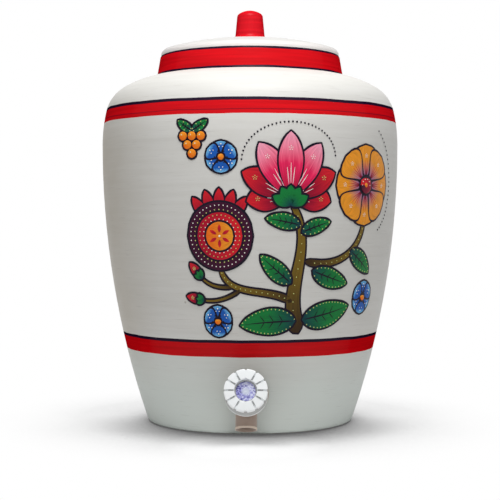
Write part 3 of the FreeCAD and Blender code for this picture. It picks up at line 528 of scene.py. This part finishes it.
def flaked_disc(settings):
    """Printed foil under clear lacquer: violet flakes a millimetre wide, darker on one side
    and worn to pale grey in the middle."""
    material, add = new_material("flaked_disc")
    place = add("TexCoord", output="Object")
    low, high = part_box("knob_disc")
    out = place_on_axis(add, place, (low + high) / 2, VALVE_AXIS)[1]
    flakes = add("TexVoronoi", {"Vector": place, "Scale": 800.0}, "Color")
    flake = add("SeparateColor", (flakes,))
    glitter = add("TexNoise", {"Vector": place, "Scale": 500.0})
    mottle = add("Math", (flake, 0.6, all_of(add, glitter, 0.4)), operation="MULTIPLY_ADD")
    across = add("SeparateXYZ", (place,), "X")
    dark_side = add("MapRange", (across, 1.0 * MM, -7.5 * MM, 0.0, 0.34))
    foil = add(
        "ValToRGB", (add("Math", (mottle, dark_side), operation="SUBTRACT"),),
        stops=((0.08, settings.disc_dark), (0.34, settings.disc), (0.62, settings.disc_light)),
    )
    ragged = add("Math", (flake, 1.2 * MM, out), operation="MULTIPLY_ADD")
    worn = add("MapRange", (ragged, 2.6 * MM, 4.6 * MM, 0.9, 0.0))
    colour = layered(add, foil, (worn, settings.disc_middle))
    inputs = {"Base Color": colour, "Roughness": 0.2, "Specular IOR Level": 0.4}
    add("OutputMaterial", (add("BsdfPrincipled", inputs),), None)
    return material


class POT_OT_tap(bpy.types.Operator):
    """Dress the tap's plastics, rubber and metal"""

    bl_idname = "pot.tap"
    bl_label = "Dress the tap"

    def execute(self, context):
        settings = context.scene.pot_tap
        # Name, colour, roughness, grain in mm, unevenness, painted highlight or painted shade, and the pieces made
        # of it.
        for name, colour, roughness, grain, tone, marked, pieces in (
            ("taupe_abs", settings.body, 0.38, 0.4, 0.10, lip_highlight(settings.lip), ["tap_body"]),
            ("knob_abs", settings.knob, 0.24, 0.4, 0.03, shaded_waist(settings.waist_shade),
             ["tap_knob"]),
            ("white_nylon", settings.fitting, 0.42, 0.5, 0.05, None,
             ["slip_washer", "back_nut", "tap_bonnet", "valve_jumper", "tap_spindle"]),
            ("black_rubber", settings.rubber, 0.75, 0.6, 0.2, None,
             ["outer_washer", "inner_washer", "bonnet_gasket", "spindle_o_ring", "seat_washer"]),
            ("zinc_plated_screw", settings.screw, 0.3, 0.3, 0.05, None, ["knob_screw"]),
        ):
            material = even_finish(name, colour, roughness, grain * MM, tone, marked)
            dress_nodes(material, *pieces)
        dress_nodes(flaked_disc(settings), "knob_disc")
        return {"FINISHED"}


# ---- Painting on the wall.

def on_wall(arc, height, lift):
    """The place that lies lift proud of the pot's wall."""
    angle = arc * MM / BELLY_RADIUS
    outward = Vector((math.sin(angle), -math.cos(angle), 0))
    start = outward * (2 * BELLY_RADIUS) + Vector((0, 0, height * MM))
    place = NODES["pot_body"].ray_cast(start, -outward)[1]
    return place + outward * lift


def heading(degrees):
    return Vector((math.cos(math.radians(degrees)), math.sin(math.radians(degrees))))


def bezier(points):
    """A function from 0..1 to places along the Bezier curve that the points control."""
    def place(t):
        row = [Vector(point) for point in points]
        while len(row) > 1:
            row = [first.lerp(second, t) for first, second in zip(row, row[1:])]
        return row[0]
    return place


def across_line(centre, half_length):
    """A level line of twice half_length through centre."""
    aside = Vector((half_length, 0))
    return bezier([Vector(centre) - aside, Vector(centre) + aside])


def petal_line(root, direction, length, lean=0.0):
    """A petal's middle line; lean bends its tip sideways by that share of its length."""
    ahead = heading(direction)
    left = Vector((-ahead.y, ahead.x))
    start = Vector(root)
    tip = start + ahead * length + left * (lean * length)
    return bezier([start, start + ahead * (length * 0.55), tip])


def sideways(line, t, step=0.02):
    """Unit vectors along and to the left of a line at t."""
    ahead = (line(min(t + step, 1.0)) - line(max(t - step, 0.0))).normalized()
    return ahead, Vector((-ahead.y, ahead.x))


def swelling(width, fattest=0.5, fullness=0.7):
    """Half width along a stroke that is pointed at both ends and widest at fattest."""
    power = math.log(0.5) / math.log(fattest)

    def half_width(t):
        return 0.5 * width * math.sin(math.pi * t ** power) ** fullness
    return half_width


def tapering(start, end):
    return lambda t: 0.5 * (start + (end - start) * t)


def growing(foot, tip, rounded_foot=0.06):
    """Half width of a stem that starts in a rounded foot and thins to its tip."""
    def half_width(t):
        return 0.5 * (foot + (tip - foot) * t ** 0.7) * min(1.0, t / rounded_foot) ** 0.5
    return half_width


def rounded(width):
    """Half width of a round blob."""
    return lambda t: 0.5 * width * math.sqrt(max(0.0, 1 - (2 * t - 1) ** 2))


def lay_stroke(line, half_width, lift, spread=0.0, steps=20, across=4):
    """One flat stroke of paint on the wall, spread wider all round for an outline."""
    thinnest = 0.12
    bpy.ops.mesh.primitive_grid_add(x_subdivisions=steps, y_subdivisions=across, size=1)
    stroke = bpy.context.object
    for vertex in stroke.data.vertices:
        # The grid is 1 wide and centred, so X says how far along the stroke a vertex is.
        share = vertex.co.x + 0.5
        t = min(max(share, 0.0), 1.0)
        ahead, left = sideways(line, t, 0.01)
        # The outline comes to a blunt point at both ends.
        end_room = min(1.0, 6 * min(t, 1 - t) + 0.25)
        half = max(half_width(t), thinnest) + spread * end_room
        past = (share - 0.5) * 2 * spread
        spot = line(t) + ahead * past + left * (vertex.co.y * 2 * half)
        vertex.co = on_wall(spot.x, spot.y, lift)
    return stroke


def select_only(items):
    bpy.ops.object.select_all(action="DESELECT")
    for item in items:
        item.select_set(True)
    bpy.context.view_layer.objects.active = items[0]


def apply_modifier(piece, kind, **settings):
    select_only([piece])
    modifier = piece.modifiers.new(kind.lower(), kind)
    for name, setting in settings.items():
        setattr(modifier, name, setting)
    bpy.ops.object.modifier_apply(modifier=modifier.name)


def enamel_paint(name, stops):
    """Oil enamel laid with a round brush: glossy, blended wet from the stroke's root to its
    tip, with bristle marks along it."""
    material, add = new_material(name)
    uv = add("TexCoord", output="UV")
    # Twenty-two bristle marks side by side, each a third of the stroke long.
    bristles = streaks(add, uv, (3, 22, 1))
    along = add("SeparateXYZ", (uv,), "X")
    along = add("Math", (along, 0.12), operation="SUBTRACT")
    along = add("Math", (bristles, 0.24, along), operation="MULTIPLY_ADD")
    tone = add("MapRange", (bristles, 0.3, 0.7, 0.82, 1.12))
    colour = add("ValToRGB", (along,), stops=stops)
    colour = layered(add, colour, (1.0, tone), blend="MULTIPLY")
    inputs = {"Base Color": colour, "Roughness": 0.3, "Specular IOR Level": 0.12}
    end_material(add, inputs, bristles, 0.15, 0.3 * MM)
    return material


class Painter:
    """Collects strokes by colour and lays each shape with its dark outline below it."""

    def __init__(self, settings):
        self.settings = settings
        self.outline = settings.outline / MM
        self.strokes = {}

    def height_of(self, coat):
        return self.settings.ground + self.settings.coat * coat

    def add(self, colour, stroke):
        self.strokes.setdefault(colour, []).append(stroke)

    def shape(self, colour, line, half_width, coat=1, steps=20, across=4):
        """A stroke with its outline one coat below."""
        lift = self.height_of(coat - 1)
        self.add("ink", lay_stroke(line, half_width, lift, self.outline, steps, across))
        self.mark(colour, line, half_width, coat, steps, across)

    def mark(self, colour, line, half_width, coat, steps=10, across=2):
        lift = self.height_of(coat)
        self.add(colour, lay_stroke(line, half_width, lift, 0.0, steps, across))

    def dot(self, colour, place, radius, coat=1, outlined=False):
        """A round drop of paint, a little domed."""
        if outlined:
            edge = radius + self.outline
            self.mark("ink", across_line(place, edge), rounded(2 * edge), coat - 1, 12, 4)
        bpy.ops.mesh.primitive_uv_sphere_add(segments=12, ring_count=6, radius=radius * MM)
        drop = bpy.context.object
        centre = on_wall(place[0], place[1], self.height_of(coat))
        outward = Vector((centre.x, centre.y, 0)).normalized()
        turn = outward.to_track_quat("Z", "Y").to_matrix().to_4x4()
        dome = min(0.3, 0.35 / radius)
        flattened = Matrix.Diagonal((1, 1, dome, 1))
        drop.data.transform(Matrix.Translation(centre) @ turn @ flattened)
        self.add(colour + "_dots", drop)

    def finish(self, motif, materials):
        """Makes one piece of all strokes of a colour, and one of all its drops."""
        for colour, strokes in self.strokes.items():
            select_only(strokes)
            if len(strokes) > 1:
                bpy.ops.object.join()
            piece = bpy.context.object
            piece.name = piece.data.name = f"{motif}_{colour}"
            if colour.endswith("_dots"):
                bpy.ops.object.shade_smooth()
            else:
                # A thin wall sinks into the clay and closes the stroke.
                apply_modifier(piece, "SOLIDIFY", thickness=0.6 * MM, offset=-1)
            piece.data.materials.clear()
            piece.data.materials.append(materials[colour.removesuffix("_dots")])
            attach(piece, "pot")


def dotted_line(painter, colour, line, count, radius, coat=1):
    for number in range(count):
        painter.dot(colour, line(number / (count - 1)), radius, coat)


def dotted_ring(painter, colour, centre, ring, count, radius, coat, first=0):
    for number in range(count):
        spot = Vector(centre) + heading(first + 360 * number / count) * ring
        painter.dot(colour, spot, radius, coat)


def border_dots(painter, colour, line, half_width, count, radius, coat, first=0.08, last=0.95):
    """Dots along both edges of a stroke, just inside its outline."""
    for number in range(count):
        t = first + (last - first) * number / (count - 1)
        left = sideways(line, t)[1]
        for side in (-1, 1):
            aside = max(half_width(t) - radius * 1.6, 0)
            painter.dot(colour, line(t) + left * side * aside, radius, coat)


def dot_flower(painter, colour, place, ring, coat, radius=0.42):
    """Five small dots round one."""
    painter.dot(colour, place, radius, coat)
    dotted_ring(painter, colour, place, ring, 5, radius, coat, 90)


def paint_leaf(painter, root, direction, length, width, lean=0.0, coat=3):
    """A pointed leaf with a middle vein, side veins and a dotted border."""
    line = petal_line(root, direction, length, lean)
    half_width = swelling(width, 0.42, 0.75)
    painter.shape("leaf", line, half_width, coat, 22, 4)
    vein = bezier([line(0.04), line(0.5), line(0.9)])
    painter.mark("ink", vein, swelling(1.2, 0.3), coat + 1, 12)
    for side in (-1, 1):
        for share in (0.22, 0.38, 0.54):
            ahead, left = sideways(line, share)
            tip = line(share) + (ahead * 0.75 + left * side) * (width * 0.25)
            painter.mark("ink", bezier([line(share), tip]), swelling(0.8, 0.35), coat + 1, 6)
    border_dots(painter, "lime", line, half_width, int(length / 3.6), 0.5, coat + 1)


def paint_daisy(painter, centre, radius, petals, coat=3):
    """A round flower: petals blended from violet roots to marigold tips, veined."""
    centre = Vector(centre)
    width = 2 * math.pi * radius / petals * 1.04
    for number in range(petals):
        direction = 90 + 360 * number / petals
        layer = coat + 2 * (number % 2)
        root = centre + heading(direction) * (radius * 0.16)
        line = petal_line(root, direction, radius * 0.84, 0.03)
        painter.shape("marigold", line, swelling(width, 0.7, 0.6), layer, 16, 4)
        for lean in (-0.2, -0.07, 0.07, 0.2):
            length = radius * (0.52 - abs(lean) * 0.6)
            vein = petal_line(root, direction + lean * 60, length, lean * 0.3)
            painter.mark("crimson", vein, swelling(0.7, 0.3), layer + 1, 6)
        spot = centre + heading(direction) * radius * 0.74
        dot_flower(painter, "chalk", spot, 1.4, layer + 1)
    painter.dot("crimson", centre, radius * 0.22, coat + 5, outlined=True)
    dotted_ring(painter, "chalk", centre, radius * 0.15, 10, 0.5, coat + 9)
    painter.dot("orange", centre, radius * 0.06, coat + 9)


def paint_lotus(painter, root, length, coat=3):
    """A fan of pointed petals, the outer ones first, over a small green cup."""
    fan = [(-80, 0.64, 0.22), (80, 0.64, -0.22), (-54, 0.82, 0.12), (54, 0.82, -0.12),
           (-27, 0.95, 0.05), (27, 0.95, -0.05), (0, 1.0, 0.0)]
    for number, (aside, share, lean) in enumerate(fan):
        line = petal_line(root, 90 - aside, length * share, lean)
        layer = coat + 2 * (number // 2)
        petal, dots = ("crimson", "lime") if number < 4 else ("pink", "chalk")
        painter.shape(petal, line, swelling(length * 0.37, 0.56, 0.75), layer, 18, 4)
        left = sideways(line, 0.3)[1]
        for side in (-1, 0, 1):
            start = line(0.2) + left * side * 1.6
            comb = bezier([start, line(0.52 - 0.07 * abs(side)) + left * side * 3.2])
            painter.mark("blush", comb, swelling(0.8, 0.4), layer + 1, 6)
        dot_flower(painter, dots, line(0.74), 1.6, layer + 1)
    for direction in (28, 62, 118, 152, 90):
        cup = petal_line((root[0], root[1] - 5), direction, length * 0.3)
        painter.shape("leaf", cup, swelling(length * 0.16, 0.5, 0.8), coat + 9, 10, 2)


def paint_pomegranate(painter, centre, radius, coat=3):
    """A round fruit in rings of plum, scarlet and orange, dotted, with a toothed crown."""
    for direction in (54, 72, 90, 108, 126):
        root = Vector(centre) + heading(direction) * radius * 0.8
        tooth = petal_line(root, direction, radius * 0.6)
        painter.shape("scarlet", tooth, swelling(radius * 0.3, 0.4, 0.8), coat - 2, 10, 2)
    for colour, share, above in (("plum", 1.0, 0), ("scarlet", 0.7, 2), ("orange", 0.42, 4)):
        size = radius * share
        line = across_line(centre, size)
        painter.shape(colour, line, rounded(2 * size), coat + above, 32, 12)
    for share, count, size, colour in (
        (0.91, 44, 0.5, "chalk"), (0.78, 36, 0.5, "lime"),
        (0.62, 30, 0.45, "lime"), (0.5, 24, 0.45, "chalk"),
    ):
        dotted_ring(painter, colour, centre, radius * share, count, size, coat + 4)
    for number in range(6):
        seed = petal_line(centre, 90 + 60 * number, radius * 0.34)
        line = bezier([seed(0.3), seed(1.0)])
        painter.mark("scarlet", line, swelling(radius * 0.1, 0.5), coat + 5, 8)
    painter.dot("chalk", centre, 0.9, coat + 5)


def paint_blue_flower(painter, centre, radius, coat=2):
    """A small flower: six petals with light tips round an orange heart."""
    centre = Vector(centre)
    for number in range(6):
        direction = 90 + 60 * number
        layer = coat + 2 * (number % 2)
        line = petal_line(centre + heading(direction) * radius * 0.12, direction, radius * 0.88)
        painter.shape("blue", line, swelling(radius, 0.66, 0.6), layer, 14, 4)
        for share, aside, size in ((0.82, 0, 0.6), (0.66, -10, 0.45), (0.66, 10, 0.45)):
            spot = centre + heading(direction + aside) * radius * share
            painter.dot("chalk", spot, size, layer + 1)
    painter.dot("orange", centre, radius * 0.2, coat + 4, outlined=True)
    dotted_ring(painter, "ink", centre, radius * 0.4, 6, 0.5, coat + 4, 60)


def paint_berries(painter, top, berry, coat=2):
    """A hanging bunch of berries under two small leaves, each berry with a glint."""
    for direction, lean in ((28, 0.1), (152, -0.1)):
        paint_leaf(painter, top, direction, berry * 4.2, berry * 2.0, lean, coat)
    for row in range(3):
        for number in range(3 - row):
            across = 2.15 * (number - (2 - row) / 2)
            spot = Vector(top) + Vector((across, -1.2 - 1.95 * row)) * berry
            painter.dot("orange", spot, berry, coat, outlined=True)
            painter.dot("chalk", spot + Vector((-0.3, 0.3)) * berry, 0.5, coat + 4)


def paint_bud(painter, stem, length, coat=2):
    """A pointed bud in a green cup at the end of a thin stem."""
    painter.shape("olive", stem, tapering(2.4, 1.2), coat - 1, 16, 2)
    ahead = sideways(stem, 1.0)[0]
    direction = math.degrees(math.atan2(ahead.y, ahead.x))
    line = petal_line(stem(0.96), direction, length)
    painter.shape("crimson", line, swelling(length * 0.52, 0.42, 0.8), coat + 1, 14, 4)
    dot_flower(painter, "lime", line(0.58), 1.2, coat + 2)
    for aside in (-30, 0, 30):
        cup = petal_line(stem(0.9), direction + aside, length * 0.5)
        painter.shape("leaf", cup, swelling(length * 0.24, 0.5, 0.8), coat + 3, 8, 2)


# Each enamel's colours from the stroke's root to its tip.
ENAMELS = {
    "ink": ("ink", "ink"),
    "chalk": ("chalk", "chalk"),
    "lime": ("lime", "lime"),
    "marigold": ("violet", "marigold", "marigold"),
    "orange": ("orange", "marigold"),
    "crimson": ("plum", "crimson", "scarlet"),
    "pink": ("crimson", "pink", "blush"),
    "blush": ("blush", "chalk"),
    "plum": ("plum", "plum"),
    "scarlet": ("crimson", "scarlet"),
    "olive": ("umber", "olive", "olive"),
    "leaf": ("teal", "leaf", "leaf"),
    "blue": ("blue", "blue", "blue", "sky"),
}


def palette(settings):
    """One enamel for each colour name of the painting."""
    def enamel(name, hues):
        spacing = 0.9 / (len(hues) - 1)
        stops = [
            (0.05 + spacing * number, getattr(settings, hue)) for number, hue in enumerate(hues)
        ]
        return enamel_paint(name + "_enamel", stops)
    return {name: enamel(name, hues) for name, hues in ENAMELS.items()}


# Curves, and the widths of their foot and tip.
STEMS = [
    ([(42, 114), (18, 128), (-16, 116), (-23, 142)], 6.0, 3.4),
    ([(52, 148), (84, 140), (114, 156), (114, 184)], 6.0, 3.4),
    ([(50, 88), (28, 128), (66, 156), (36, 200)], 17.0, 4.0),
]
BUD_STEMS = [[(-12, 127), (-32, 124), (-42, 136)], [(-6, 124), (-24, 112), (-43, 116)]]
# Root, heading in degrees, length, width, bend.
LEAVES = [
    ((46, 98), 178, 52, 22, 0.10), ((53, 99), 6, 52, 22, 0.10),
    ((40, 130), 146, 36, 15, -0.10), ((60, 140), 338, 40, 16, 0.10),
    ((100, 156), 332, 34, 15, -0.10), ((46, 178), 164, 30, 13, 0.10),
    ((48, 172), 24, 28, 12, -0.10),
]
BLUE_FLOWERS = [((124, 116), 14), ((-27, 98), 13), ((-21, 234), 13)]
# Curves, and how many dots lie along them.
DOTTED_LINES = [
    ([(-4, 232), (0, 273), (74, 273), (78, 236)], 34),
    ([(138, 174), (163, 190), (163, 236), (134, 259)], 26),
]


class POT_OT_painted_stems(bpy.types.Operator):
    """Paint the stems, leaves and buds of the spray"""

    bl_idname = "pot.painted_stems"
    bl_label = "Paint stems and leaves"

    def execute(self, context):
        settings = context.scene.pot_painting
        painter = Painter(settings)
        for points, foot, tip in STEMS:
            line = bezier(points)
            painter.shape("olive", line, growing(foot, tip), 1, 48, 4)
            dotted_line(painter, "lime", lambda t: line(0.1 + 0.85 * t), 14, 0.45, 2)
        for leaf in LEAVES:
            paint_leaf(painter, *leaf)
        for points in BUD_STEMS:
            paint_bud(painter, bezier(points), 15)
        painter.finish("foliage", palette(settings))
        return {"FINISHED"}


class POT_OT_painted_flowers(bpy.types.Operator):
    """Paint the daisy, the lotus and the pomegranate"""

    bl_idname = "pot.painted_flowers"
    bl_label = "Paint flowers and fruit"

    def execute(self, context):
        settings = context.scene.pot_painting
        enamels = palette(settings)
        for motif, paint, measures in (
            ("daisy", paint_daisy, ((114, 212), 34, 8)),
            ("lotus", paint_lotus, ((37, 199), 56)),
            ("pomegranate", paint_pomegranate, ((-23, 169), 28)),
        ):
            painter = Painter(settings)
            paint(painter, *measures)
            painter.finish(motif, enamels)
        return {"FINISHED"}


class POT_OT_painted_sprigs(bpy.types.Operator):
    """Paint the small blue flowers, the berries and the dotted lines"""

    bl_idname = "pot.painted_sprigs"
    bl_label = "Paint small flowers and berries"

    def execute(self, context):
        settings = context.scene.pot_painting
        painter = Painter(settings)
        for centre, radius in BLUE_FLOWERS:
            paint_blue_flower(painter, centre, radius)
        paint_berries(painter, (-46, 256), 3.7)
        for points, count in DOTTED_LINES:
            dotted_line(painter, "ink", bezier(points), count, 0.8)
        painter.finish("sprig", palette(settings))
        return {"FINISHED"}


# ---- Stage.

class POT_OT_stage(bpy.types.Operator):
    """Set up the camera, the lamps and the floor"""

    bl_idname = "pot.stage"
    bl_label = "Set the stage"

    def execute(self, context):
        settings = context.scene.pot_stage
        camera = bpy.data.cameras.new("camera")
        camera.sensor_width = 36
        camera.lens = settings.focal_share * camera.sensor_width
        camera.shift_y = -settings.horizon
        camera.clip_end = 30
        azimuth, distance = settings.camera_azimuth, settings.camera_distance
        place = (
            distance * math.sin(azimuth), -distance * math.cos(azimuth), settings.camera_height
        )
        holder = hang(context, "camera", camera, place)
        holder.rotation_euler = (math.radians(90), 0, azimuth)
        context.scene.camera = holder
        make_floor(settings)
        make_lamps(context)
        context.scene.view_settings.view_transform = "Standard"
        return {"FINISHED"}


def hang(context, name, data, place):
    holder = bpy.data.objects.new(name, data)
    context.scene.collection.objects.link(holder)
    holder.location = place
    return holder


def background_rays(add):
    """1 for rays that see the background itself: the camera's, and those in gloss and glass."""
    path = add("LightPath", output=None).outputs
    return any_of(add, path["Is Camera Ray"], path["Is Glossy Ray"], path["Is Transmission Ray"])


# How bright the camera sees the floor, by how open it lies to the air above.
FLOOR_SHADE = [(0.32, 0.10), (0.42, 0.29), (0.58, 0.52), (0.65, 0.73), (0.73, 0.90), (0.79, 1.0)]


def make_floor(settings):
    """A white floor. What the camera sees of it is white, darkened where the pot stands over
    it; all other light meets a plain white surface."""
    # A tenth of a millimetre below the pot's foot, so that the two faces don't coincide.
    bpy.ops.mesh.primitive_plane_add(size=12, location=(0, 0, -0.1 * MM))
    floor = bpy.context.object
    floor.name = "floor"
    material, add = new_material("white_floor")
    open_air = add("AmbientOcclusion", {"Distance": settings.shade_reach}, "AO", samples=12)
    # The shade reaches further to the front than to the back, and the tap, which ends
    # close above the floor, hardly adds to it.
    place = add("TexCoord", output="Object")

    def nearness(point, *limits):
        inputs = (place, (0, point, 0))
        away = add("VectorMath", inputs, "Value", operation="DISTANCE")
        return add("MapRange", (away, *limits))

    below_knob = all_of(
        add,
        nearness(ELBOW.y - 25 * MM, 40 * MM, 70 * MM, 0.09, 0.0),
        nearness(0, 95 * MM, 110 * MM),
    )
    below_spout = nearness(SPOUT_LIP.y + 3 * MM, 3 * MM, 34 * MM, 0.08, 0.0)
    depth = add("SeparateXYZ", (place,), "Y")
    leaning = all_of(
        add,
        add("MapRange", (depth, -80 * MM, 20 * MM, -0.08, 0.09)),
        nearness(0, 110 * MM, 160 * MM, 1.0, 0.0),
    )
    for lighter in (below_knob, below_spout, leaning):
        open_air = add("Math", (open_air, lighter), operation="ADD")
    stops = [(openness, (level, level, level, 1.0)) for openness, level in FLOOR_SHADE]
    shade = add("ValToRGB", (open_air,), stops=stops)
    diffuse = add("BsdfDiffuse", {"Color": settings.floor})
    seen = add("Emission", {"Color": shade})
    mixed = add("MixShader", (background_rays(add), diffuse, seen))
    add("OutputMaterial", (mixed,), None)
    floor.data.materials.append(material)


def make_lamps(context):
    """A white world that lights the object at a third of what the camera sees of it, and
    two lamps."""
    world = bpy.data.worlds.new("studio")
    add = start_nodes(world)
    world_light = 0.32
    strength = add(
        "Math", (background_rays(add), 1 - world_light, world_light),
        operation="MULTIPLY_ADD",
    )
    background = add("Background", {"Color": (1, 1, 1, 1), "Strength": strength})
    add("OutputWorld", (background,), None)
    context.scene.world = world
    middle = Vector((0, 0, 200 * MM))
    # Name, place, width of the soft box, power in watts. Both hang above and in front.
    for name, place, width, power in (
        ("overhead", (0.03, -0.35, 0.85), 0.4, 4.0),
        ("front", (0.05, -0.55, 1.05), 0.6, 2.1),
    ):
        lamp = bpy.data.lights.new(name, "AREA")
        lamp.shape = "DISK"
        lamp.size = width
        lamp.energy = power
        holder = hang(context, name, lamp, place)
        towards = middle - holder.location
        holder.rotation_euler = towards.to_track_quat("-Z", "Y").to_euler()


# ---- Add-on.

class POT_PT_panel(bpy.types.Panel):
    """Buttons and sizes of the painted pot"""

    bl_idname = "POT_PT_panel"
    bl_label = "Water Pot"
    bl_space_type = "VIEW_3D"
    bl_region_type = "UI"
    bl_category = "Water Pot"

    def draw(self, context):
        for kind in OPERATORS:
            self.layout.operator(kind.bl_idname)
        for name in SETTINGS:
            group = getattr(context.scene, name)
            box = self.layout.box()
            for field in group.bl_rna.properties.keys():
                if field not in ("rna_type", "name"):
                    box.prop(group, field)


OPERATORS = [
    POT_OT_stage, POT_OT_clay, POT_OT_tap, POT_OT_painted_stems, POT_OT_painted_flowers,
    POT_OT_painted_sprigs,
]
SETTINGS = {
    "pot_clay": ClaySettings, "pot_painting": PaintingSettings, "pot_tap": TapSettings,
    "pot_stage": StageSettings,
}


def register():
    for kind in [*SETTINGS.values(), *OPERATORS, POT_PT_panel]:
        bpy.utils.register_class(kind)
    for name, kind in SETTINGS.items():
        setattr(bpy.types.Scene, name, bpy.props.PointerProperty(type=kind))


def unregister():
    for name in SETTINGS:
        delattr(bpy.types.Scene, name)
    for kind in [POT_PT_panel, *reversed(OPERATORS), *reversed(SETTINGS.values())]:
        bpy.utils.unregister_class(kind)


def main():
    register()
    bpy.ops.pot.stage()
    bpy.ops.pot.clay()
    bpy.ops.pot.tap()
    bpy.ops.pot.painted_stems()
    bpy.ops.pot.painted_flowers()
    bpy.ops.pot.painted_sprigs()


if __name__ == "__main__":
    main()
